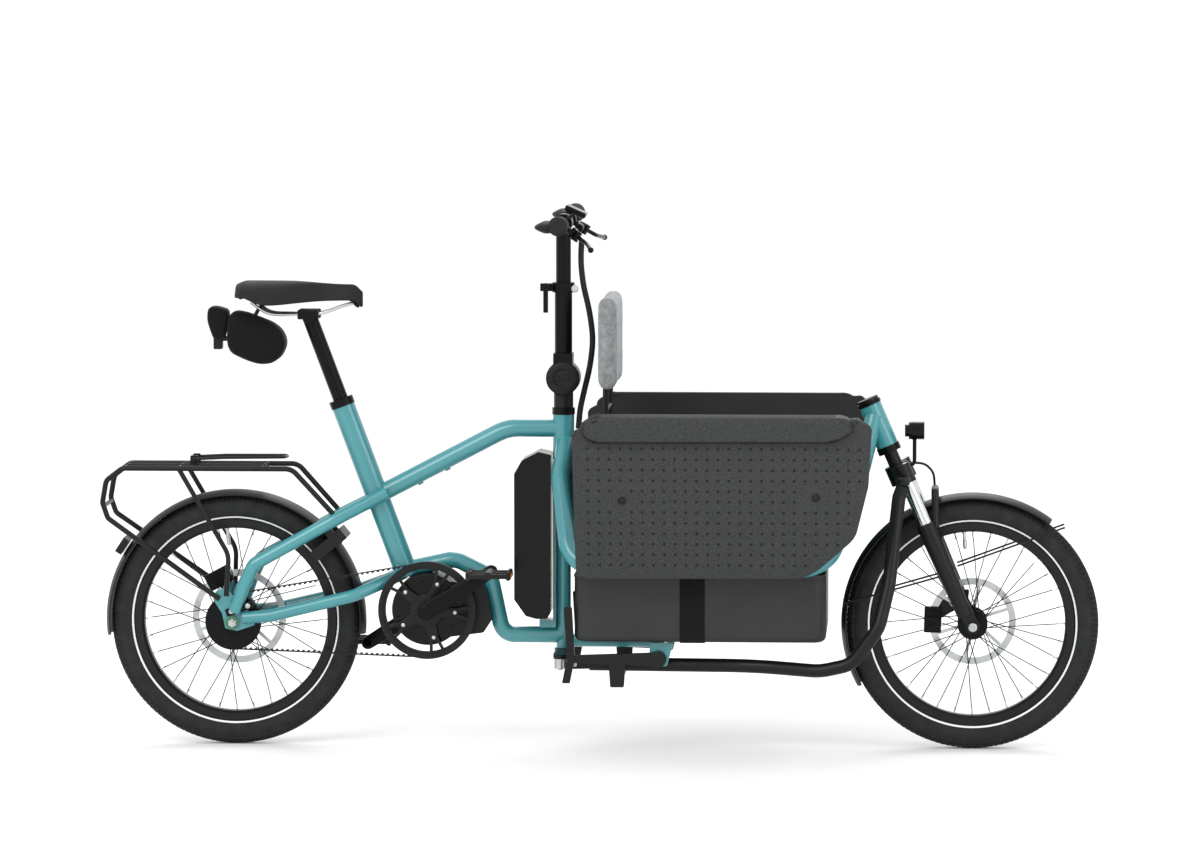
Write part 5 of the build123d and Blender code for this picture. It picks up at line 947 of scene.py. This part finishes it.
def turned(shape, centre, angle):
    """Turns a shape made in the plane of the wheels about an axis along Y."""
    turn = Matrix.Translation(centre) @ Matrix.Rotation(-angle, 4, "Y")
    bmesh.ops.transform(shape, matrix=turn, verts=shape.verts)
    return shape


def pulley_shape():
    """The front pulley: a toothed ring behind a guard ring, on five forked arms."""
    radius = FRONT_BELT_RADIUS
    middle = Vector((BRACKET.x, BELT_PLANE, BRACKET.z))
    wide = BELT_WIDTH / 2
    shapes = [
        lathe([(radius - 12 * MM, -wide), (radius - 3 * MM, -wide), (radius - 3 * MM, wide),
               (radius - 12 * MM, wide)], middle, 112, (0, 1, 0)),
        lathe([(radius - 7 * MM, -wide - 2.4 * MM), (radius + 3 * MM, -wide - 2.4 * MM),
               (radius + 3.4 * MM, -wide - 1.4 * MM), (radius + 3 * MM, -wide - 0.6 * MM),
               (radius - 7 * MM, -wide - 0.6 * MM)], middle, 112, (0, 1, 0)),
        lathe([(11.1 * MM, -wide - 3 * MM), (24 * MM, -wide - 3 * MM), (34 * MM, -wide - 1 * MM),
               (36 * MM, 1 * MM), (11.1 * MM, 1 * MM)], middle, 64, (0, 1, 0)),
    ]
    for i in range(FRONT_TEETH):
        tooth = soft_block((radius - 4 * MM, -wide, -2.6 * MM), (radius - 0.6 * MM, wide, 2.6 * MM), 0)
        shapes.append(turned(tooth, middle, 2 * pi * i / FRONT_TEETH))
    reach = radius - 6 * MM
    for i in range(5):
        angle = CRANK_ANGLE + 2 * pi * (i + 0.5) / 5
        root = plate([(22 * MM, -13 * MM), (58 * MM, -9 * MM), (68 * MM, 0), (58 * MM, 9 * MM),
                      (22 * MM, 13 * MM)], -wide - 2 * MM, -wide + 4 * MM, 1 * MM)
        shapes.append(turned(root, middle, angle))
        for side in (-1, 1):
            fork = plate([(54 * MM, side * 1 * MM), (57 * MM, side * 9 * MM), (reach, side * 17 * MM),
                          (reach + 1 * MM, side * 11 * MM)], -wide - 1.6 * MM, -wide + 3 * MM, 0.8 * MM)
            shapes.append(turned(fork, middle, angle))
    return joined(*shapes)


def pulley_bolts():
    """The bright bolts of the pulley's arms."""
    shapes = []
    for i in range(5):
        angle = CRANK_ANGLE + 2 * pi * (i + 0.5) / 5
        place = polar(BRACKET, 58 * MM, angle, BELT_PLANE - BELT_WIDTH / 2 - 1.9 * MM)
        shapes.append(bolt(place, (0, -1, 0), 4.2 * MM, 2.4 * MM))
    return joined(*shapes)


def crank_arm(side):
    """A forged crank arm that tapers from the spindle to the pedal, with its end cap."""
    angle = CRANK_ANGLE if side < 0 else CRANK_ANGLE + pi
    outline = []
    for i in range(13):
        turn = pi / 2 + pi * i / 12
        outline.append((18 * MM * cos(turn), 18 * MM * sin(turn)))
    for i in range(13):
        turn = -pi / 2 + pi * i / 12
        outline.append((CRANK_LENGTH + 13.5 * MM * cos(turn), 13.5 * MM * sin(turn)))
    arm = plate(outline, -7 * MM, 7 * MM, 3 * MM, 3)
    middle = Vector((BRACKET.x, side * CRANK_PLANE, BRACKET.z))
    turned(arm, middle, angle)
    cap = lathe([(POLE, 0), (14 * MM, 0), (14 * MM, 1.2 * MM), (12 * MM, 2 * MM), (9.5 * MM, 1 * MM),
                 (POLE, 1 * MM)], middle + Vector((0, side * 6.8 * MM, 0)), 36, (0, side, 0))
    end = polar(middle, CRANK_LENGTH, angle, side * CRANK_PLANE)
    axle = lathe([(POLE, -7 * MM), (7.5 * MM, -7 * MM), (7.5 * MM, 9 * MM), (4.4 * MM, 13 * MM),
                  (4.4 * MM, 99 * MM), (POLE, 99 * MM)], end, 18, (0, side, 0))
    return joined(arm, cap, axle)


def pedal_shape(node, centre_x, centre_z):
    """A platform pedal: a barrel, two ribbed treads and two end bars, open between them."""
    low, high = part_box(node)
    half = (high.x - low.x) / 2
    thick = (high.z - low.z) / 2
    shapes = []
    middle = Vector((centre_x, 0, centre_z))
    shapes.append(lathe([(4.9 * MM, low.y + 2 * MM), (9 * MM, low.y + 3 * MM), (8.6 * MM, high.y - 3 * MM),
                         (4.9 * MM, high.y - 2 * MM)], middle, 24, (0, 1, 0)))
    for sign in (-1, 1):
        outer = centre_x + sign * half
        inner = centre_x + sign * (half - 9 * MM)
        shapes.append(soft_block((min(outer, inner), low.y + 3 * MM, centre_z - thick + 1 * MM),
                                 (max(outer, inner), high.y - 3 * MM, centre_z + thick - 1 * MM), 2.5 * MM))
        for i in range(9):
            y = low.y + 10 * MM + (high.y - low.y - 20 * MM) * i / 8
            shapes.append(soft_block((min(outer, inner) + 1 * MM, y - 2 * MM, centre_z - thick),
                                     (max(outer, inner) - 1 * MM, y + 2 * MM, centre_z + thick), 0.8 * MM, 1))
    for y in (low.y, (low.y + high.y) / 2 - 4 * MM, high.y - 8 * MM):
        shapes.append(soft_block((centre_x - half + 5 * MM, y, centre_z - 5 * MM),
                                 (centre_x + half - 5 * MM, y + 8 * MM, centre_z + 5 * MM), 2 * MM))
    return joined(*shapes)


def pedal_reflectors(node, centre_z):
    """The amber reflectors in both treads."""
    low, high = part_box(node)
    middle = (low.y + high.y) / 2
    shapes = []
    for x in (low.x, high.x):
        shapes.append(soft_block((x - 1.5 * MM, middle - 24 * MM, centre_z - 4.5 * MM),
                                 (x + 1.5 * MM, middle + 24 * MM, centre_z + 4.5 * MM), 1 * MM))
    return joined(*shapes)


def motor_cover(side):
    """The stepped round cover of the motor with its ring of bolts."""
    plane = Vector((BRACKET.x, side * 39.5 * MM, BRACKET.z))
    deep = 2.6 * MM if side < 0 else 7 * MM
    cover = lathe([(12 * MM, 0), (71 * MM, 0), (71 * MM, deep * 0.3), (66 * MM, deep * 0.6),
                   (44 * MM, deep * 0.7), (40 * MM, deep), (12 * MM, deep)], plane, 72, (0, side, 0))
    shapes = [cover]
    for i in range(8):
        place = polar(BRACKET, 62 * MM, 2 * pi * (i + 0.25) / 8, side * 39.5 * MM + side * deep * 0.55)
        shapes.append(bolt(place, (0, side, 0), 3.6 * MM, 1.2 * MM))
    return joined(*shapes)


def make_drive():
    """Belt, front pulley, cranks, pedals and the motor's covers."""
    finish_piece("toothed_belt", belt_shape(), "frame", GRIP_RUBBER, ("drive_belt",),
                 sharp=50)
    finish_piece("belt_ring", pulley_shape(), "cranks", SATIN_ABS, ("front_pulley",))
    finish_piece("ring_bolts", pulley_bolts(), "cranks", BRUSHED)
    arms = joined(crank_arm(-1), crank_arm(1))
    spindle = lathe([(POLE, -CRANK_PLANE), (10.9 * MM, -CRANK_PLANE), (10.9 * MM, CRANK_PLANE),
                     (POLE, CRANK_PLANE)], BRACKET, 36, (0, 1, 0))
    finish_piece("crank_arms", joined(arms, spindle), "cranks", ANODISED, ("crank_set",))
    for name in ("right", "left"):
        node = f"pedal_{name}"
        low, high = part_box(node)
        x, z = (low.x + high.x) / 2, (low.z + high.z) / 2
        finish_piece(f"pedal_cage_{name}", pedal_shape(node, x, z), f"{name}_pedal", SATIN_ABS,
                     (node,))
        finish_piece(f"pedal_reflectors_{name}", pedal_reflectors(node, z), f"{name}_pedal", AMBER)
    finish_piece("motor_covers", joined(motor_cover(-1), motor_cover(1)), "frame", GLOSS_ABS)
    teeth = []
    middle = Vector((REAR_AXLE.x, BELT_PLANE, REAR_AXLE.z))
    for i in range(REAR_TEETH):
        tooth = soft_block((REAR_BELT_RADIUS - 5 * MM, -BELT_WIDTH / 2, -2.6 * MM),
                           (REAR_BELT_RADIUS - 0.5 * MM, BELT_WIDTH / 2, 2.6 * MM), 0)
        teeth.append(turned(tooth, middle, 2 * pi * i / REAR_TEETH))
    rim = REAR_BELT_RADIUS + 2 * MM
    flange = lathe([(26 * MM, -8 * MM), (rim, -8 * MM), (rim, -6.6 * MM), (26 * MM, -6.6 * MM)],
                   middle, 64, (0, 1, 0))
    finish_piece("sprocket_teeth", joined(flange, *teeth), "rear_sprocket", ANODISED)


# ---------------------------------------------------------------- cockpit
def grip_shape(side):
    """A grip: a ribbed sleeve that swells at its end, with a flat palm wing behind it."""
    low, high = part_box("grips")
    end = high.y if side > 0 else low.y
    bar = Vector((COLUMN.x, 0, 1086 * MM))
    outer = abs(end)
    rise = 0.03
    a = Vector((bar.x + (outer - 70 * MM) * rise, end, bar.z + (outer - 70 * MM) * rise))
    inwards = Vector((-rise, -side, -rise)).normalized()
    profile = [(11.2 * MM, 1 * MM), (17 * MM, 0.5 * MM), (19.5 * MM, 4 * MM), (20 * MM, 12 * MM)]
    for i in range(18):
        along = (16 + 5.6 * i) * MM
        radius = (19.5 - 4 * smooth_step(i / 12)) * MM
        profile += [(radius, along), (radius, along + 3.6 * MM), (radius - 0.9 * MM, along + 4.2 * MM),
                    (radius - 0.9 * MM, along + 5 * MM)]
    profile += [(17.5 * MM, 119 * MM), (17.5 * MM, 127 * MM), (11.2 * MM, 128 * MM)]
    sleeve = lathe(profile, a, 40, inwards)
    cap = lathe([(POLE, -2 * MM), (13 * MM, -2 * MM), (17 * MM, 1 * MM), (11 * MM, 3 * MM),
                 (POLE, 3 * MM)], a, 32, inwards)
    wing = bmesh.new()
    bmesh.ops.create_uvsphere(wing, u_segments=28, v_segments=18, radius=1.0)
    for vert in wing.verts:
        ahead, across, up = vert.co
        taper = 1 - 0.35 * smooth_step(0.5 + 0.5 * across)
        vert.co = Vector((-25 * MM + 28 * MM * ahead * taper, side * (-42 * MM * across - 42 * MM),
                          -3 * MM + (13 - 4 * smooth_step(-ahead)) * MM * up))
    bmesh.ops.translate(wing, vec=a, verts=wing.verts)
    bmesh.ops.recalc_face_normals(wing, faces=wing.faces)
    return joined(sleeve, cap, wing)


def make_cockpit():
    """Grips, and the hinge and clamp details of the folding mast."""
    finish_piece("palm_grips", joined(grip_shape(-1), grip_shape(1)), "bars", GRIP_RUBBER,
                 ("grips",))
    hinge = []
    for side in (-1, 1):
        plane = Vector((MAST_HINGE.x, side * 26 * MM, MAST_HINGE.z))
        hinge.append(lathe([(POLE, -1 * MM), (33 * MM, -1 * MM), (33 * MM, 1.6 * MM), (30 * MM, 3 * MM),
                            (20 * MM, 3 * MM), (18 * MM, 1.4 * MM), (POLE, 1.4 * MM)],
                           plane, 48, (0, side, 0)))
        for turn in (0.0, pi):
            slot = soft_block((5 * MM, 0.5 * MM, -5 * MM), (15 * MM, 2.6 * MM, 5 * MM), 1.5 * MM)
            hinge.append(turned(slot, plane + Vector((0, 0 if side > 0 else -3 * MM, 0)), turn + 0.1))
    finish_piece("mast_hinge_caps", joined(*hinge), "mast", SATIN_ABS)
    nut = lathe([(POLE, 0), (8 * MM, 0), (8 * MM, 3 * MM), (6.5 * MM, 4.5 * MM), (3 * MM, 4.5 * MM),
                 (3 * MM, 2.5 * MM), (POLE, 2.5 * MM)],
                Vector((COLUMN.x + 24 * MM, -12 * MM, 951 * MM)), 24, (0, -1, 0))
    finish_piece("clamp_nut", nut, "mast", BRUSHED)


# ---------------------------------------------------------------- fittings
def make_lights():
    """The headlight's ribbed body and lens."""
    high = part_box("headlight")[1]
    middle = Vector((high.x, 0, high.z - 18 * MM))
    lens = lathe([(POLE, 0.5 * MM), (15 * MM, 0.5 * MM), (15.8 * MM, -1 * MM), (POLE, -1 * MM)],
                 middle, 40, (1, 0, 0))
    ribs = []
    for i in range(5):
        x = -6 * MM - 4.4 * MM * i
        ribs.append(lathe([(17 * MM, x), (19 * MM, x), (19 * MM, x + 1.8 * MM), (17 * MM, x + 1.8 * MM)],
                          middle, 40, (1, 0, 0)))
    bezel = lathe([(15 * MM, -2 * MM), (18.6 * MM, -2 * MM), (18.6 * MM, 1.4 * MM), (17 * MM, 2.2 * MM),
                   (15 * MM, 0.6 * MM)], middle, 40, (1, 0, 0))
    finish_piece("headlight_lens", lens, "fork", LAMP_GLASS)
    finish_piece("headlight_ribs", joined(bezel, *ribs), "fork", GLOSS_ABS)


def make_fittings():
    """The green axle ring, the coupler plate with its bolts, and the front axle's cap."""
    green = lathe([(9.4 * MM, 0), (14 * MM, 0), (14 * MM, 2.2 * MM), (9.4 * MM, 2.2 * MM)],
                  REAR_AXLE + Vector((0, -80.2 * MM, 0)), 36, (0, -1, 0))
    finish_piece("axle_ring", green, "frame", GREEN)
    plane = -81 * MM
    slope = radians(19)
    turn = Matrix.Rotation(-slope, 3, "Y")
    middle = Vector((-741 * MM, plane, 290 * MM))
    half = Vector((30, 3, 8)) * MM
    coupler = soft_block(middle - half, middle + half, 2.5 * MM, 3, turn)
    finish_piece("frame_coupler", coupler, "frame", ANODISED)
    bolts = []
    for way in (-18 * MM, 18 * MM):
        place = middle + Vector((way * cos(slope), -3 * MM, way * sin(slope)))
        bolts.append(bolt(place, (0, -1, 0), 5.5 * MM, 3 * MM))
    finish_piece("coupler_bolts", joined(*bolts), "frame", STEEL)
    seat = FRONT_AXLE + Vector((0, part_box("fork_lowers")[0].y - FRONT_AXLE.y, 0))
    cap = lathe([(POLE, 0), (9 * MM, 0), (9 * MM, 2 * MM), (7 * MM, 3.5 * MM), (4 * MM, 3.5 * MM),
                 (3 * MM, 1.5 * MM), (POLE, 1.5 * MM)], seat, 28, (0, -1, 0))
    finish_piece("front_axle_cap", cap, "fork_slider", STEEL)


# ---------------------------------------------------------------- stage
def make_stage(settings):
    """A pale floor, a soft sky, three large lights and the camera."""
    scene = bpy.context.scene
    shape = bmesh.new()
    bmesh.ops.create_circle(shape, cap_ends=True, segments=96, radius=60.0)
    mesh = bpy.data.meshes.new("floor")
    shape.to_mesh(mesh)
    shape.free()
    floor = bpy.data.objects.new("floor", mesh)
    scene.collection.objects.link(floor)
    material, tree, shader, place = start_material("floor_paper")
    paper = speckle(tree, place, 1 / 2.0)
    tree.links.new(ramp(tree, paper, [(0.3, "#f6f6f5"), (0.7, "#f9f9f8")]), shader.inputs["Base Color"])
    shader.inputs["Roughness"].default_value = 0.8
    mesh.materials.append(material)
    world = bpy.data.worlds.new("studio")
    scene.world = world
    world.use_nodes = True
    backdrop = world.node_tree.nodes["Background"]
    backdrop.inputs["Color"].default_value = hex_colour("#ffffff")
    backdrop.inputs["Strength"].default_value = settings.sky_strength
    scene.view_settings.view_transform = "Standard"
    for name, place, size, power in (
            ("key", (-2.6, -4.6, 4.2), 3.0, settings.key_power),
            ("fill", (4.4, -3.2, 2.6), 2.5, settings.key_power * 0.4),
            ("rim", (0.6, 4.4, 4.4), 3.0, settings.key_power * 0.7)):
        light = bpy.data.lights.new(name, "AREA")
        light.energy = power
        light.size = size
        lamp = bpy.data.objects.new(name, light)
        scene.collection.objects.link(lamp)
        lamp.location = place
        lamp.rotation_euler = (Vector((0, 0, 0.5)) - Vector(place)).to_track_quat("-Z", "Y").to_euler()
    target = Vector(settings.camera_target)
    turn, rise = settings.camera_turn, settings.camera_rise
    away = Vector((cos(rise) * sin(turn), -cos(rise) * cos(turn), sin(rise)))
    data = bpy.data.cameras.new("camera")
    data.lens = settings.camera_lens
    data.sensor_width = 36.0
    data.clip_end = 200.0
    camera = bpy.data.objects.new("camera", data)
    scene.collection.objects.link(camera)
    camera.location = target + away * settings.camera_distance
    camera.rotation_euler = (-away).to_track_quat("-Z", "Y").to_euler()
    scene.camera = camera


def finish_nodes():
    """Gives every CAD node its finish, and a second one where a node holds two materials."""
    for name, node in NODES.items():
        node.data.materials.clear()
        node.data.materials.append(NODE_FINISH[name])
    for end, centre, plane in (("front", FRONT_AXLE, 34 * MM), ("rear", REAR_AXLE, 49 * MM)):
        repaint(f"{end}_hub", STEEL, lambda p: p.y > plane and from_axis(p, centre) > 24 * MM)
    repaint("tub_hangers", SATIN_ABS, lambda p: abs(p.y) > 178 * MM)


# ---------------------------------------------------------------- settings
class BicycleStage(bpy.types.PropertyGroup):
    """Camera, light and sky."""
    camera_distance: FloatProperty(name="Camera distance", description="From the target to the camera",
                                   default=12.73, unit="LENGTH")
    camera_turn: FloatProperty(name="Camera turn", description="Turn towards the front of the bicycle",
                               default=radians(3.08), subtype="ANGLE")
    camera_rise: FloatProperty(name="Camera rise", description="Elevation of the camera above the target",
                               default=radians(4.65), subtype="ANGLE")
    camera_lens: FloatProperty(name="Lens", description="Focal length in millimetres", default=184.5)
    camera_target: FloatVectorProperty(name="Target", description="Point the camera looks at",
                                       default=(0.001, 0.0, 0.650), subtype="TRANSLATION")
    key_power: FloatProperty(name="Key power", description="Power of the main light in watts", default=125.0)
    sky_strength: FloatProperty(name="Sky strength", description="Strength of the even studio light",
                                default=1.1)


class BicycleSizes(bpy.types.PropertyGroup):
    """Sizes of the added pieces that a user would change."""
    tread_steps: IntProperty(name="Tread rows", description="Tread blocks round each tyre",
                             default=144, min=48)


# ---------------------------------------------------------------- operators
class BICYCLE_OT_finishes(bpy.types.Operator):
    """Give every framed node its material"""
    bl_idname = "bicycle.finishes"
    bl_label = "Node finishes"

    def execute(self, context):
        finish_nodes()
        return {"FINISHED"}


class BICYCLE_OT_wheels(bpy.types.Operator):
    """Add the tyres, their lines and the nipples"""
    bl_idname = "bicycle.wheels"
    bl_label = "Wheels"

    def execute(self, context):
        steps = context.scene.bicycle_sizes.tread_steps
        make_wheel("front", FRONT_AXLE, "front_wheel", steps)
        make_wheel("rear", REAR_AXLE, "rear_wheel", steps)
        return {"FINISHED"}


class BICYCLE_OT_saddle(bpy.types.Operator):
    """Add the saddle and its rails"""
    bl_idname = "bicycle.saddle"
    bl_label = "Saddle"

    def execute(self, context):
        make_saddle()
        return {"FINISHED"}


class BICYCLE_OT_soft_goods(bpy.types.Operator):
    """Add the saddle bag and the backrest cushion"""
    bl_idname = "bicycle.soft_goods"
    bl_label = "Bag and cushion"

    def execute(self, context):
        make_saddle_bag()
        make_backrest()
        return {"FINISHED"}


class BICYCLE_OT_panels(bpy.types.Operator):
    """Add the side panels' dots and fixings"""
    bl_idname = "bicycle.panels"
    bl_label = "Side panels"

    def execute(self, context):
        make_panels()
        return {"FINISHED"}


class BICYCLE_OT_drive(bpy.types.Operator):
    """Add the belt, pulley, cranks, pedals and motor covers"""
    bl_idname = "bicycle.drive"
    bl_label = "Drive"

    def execute(self, context):
        make_drive()
        return {"FINISHED"}


class BICYCLE_OT_cockpit(bpy.types.Operator):
    """Add the grips, the mast's hinge caps and the clamp nut"""
    bl_idname = "bicycle.cockpit"
    bl_label = "Cockpit"

    def execute(self, context):
        make_cockpit()
        return {"FINISHED"}


class BICYCLE_OT_fittings(bpy.types.Operator):
    """Add the lamp's lens, axle caps and bolts"""
    bl_idname = "bicycle.fittings"
    bl_label = "Lamp and fittings"

    def execute(self, context):
        make_lights()
        make_fittings()
        return {"FINISHED"}


class BICYCLE_OT_stage(bpy.types.Operator):
    """Add the floor, lights and camera"""
    bl_idname = "bicycle.stage"
    bl_label = "Stage"

    def execute(self, context):
        make_stage(context.scene.bicycle_stage)
        return {"FINISHED"}


OPERATORS = (
    BICYCLE_OT_finishes, BICYCLE_OT_wheels, BICYCLE_OT_saddle, BICYCLE_OT_soft_goods, BICYCLE_OT_panels,
    BICYCLE_OT_drive, BICYCLE_OT_cockpit, BICYCLE_OT_fittings, BICYCLE_OT_stage,
)


class BICYCLE_PT_pieces(bpy.types.Panel):
    """Lists the pieces and the stage"""
    bl_idname = "BICYCLE_PT_pieces"
    bl_label = "Cargo bicycle"
    bl_space_type = "VIEW_3D"
    bl_region_type = "UI"
    bl_category = "Bicycle"

    def draw(self, context):
        layout = self.layout
        for operator in OPERATORS:
            layout.operator(operator.bl_idname)
        for settings in (context.scene.bicycle_sizes, context.scene.bicycle_stage):
            for name in settings.__annotations__:
                layout.prop(settings, name)


CLASSES = (BicycleStage, BicycleSizes, *OPERATORS, BICYCLE_PT_pieces)


def register():
    """Registers the classes and the settings."""
    for item in CLASSES:
        bpy.utils.register_class(item)
    bpy.types.Scene.bicycle_stage = PointerProperty(type=BicycleStage)
    bpy.types.Scene.bicycle_sizes = PointerProperty(type=BicycleSizes)


def unregister():
    """Removes the settings and the classes."""
    del bpy.types.Scene.bicycle_sizes
    del bpy.types.Scene.bicycle_stage
    for item in reversed(CLASSES):
        bpy.utils.unregister_class(item)


def corners(box):
    """A box as two plain lists."""
    return [list(corner) for corner in box]


def main():
    register()
    for operator in OPERATORS:
        group, name = operator.bl_idname.split(".")
        getattr(getattr(bpy.ops, group), name)()


if __name__ == "__main__":
    main()
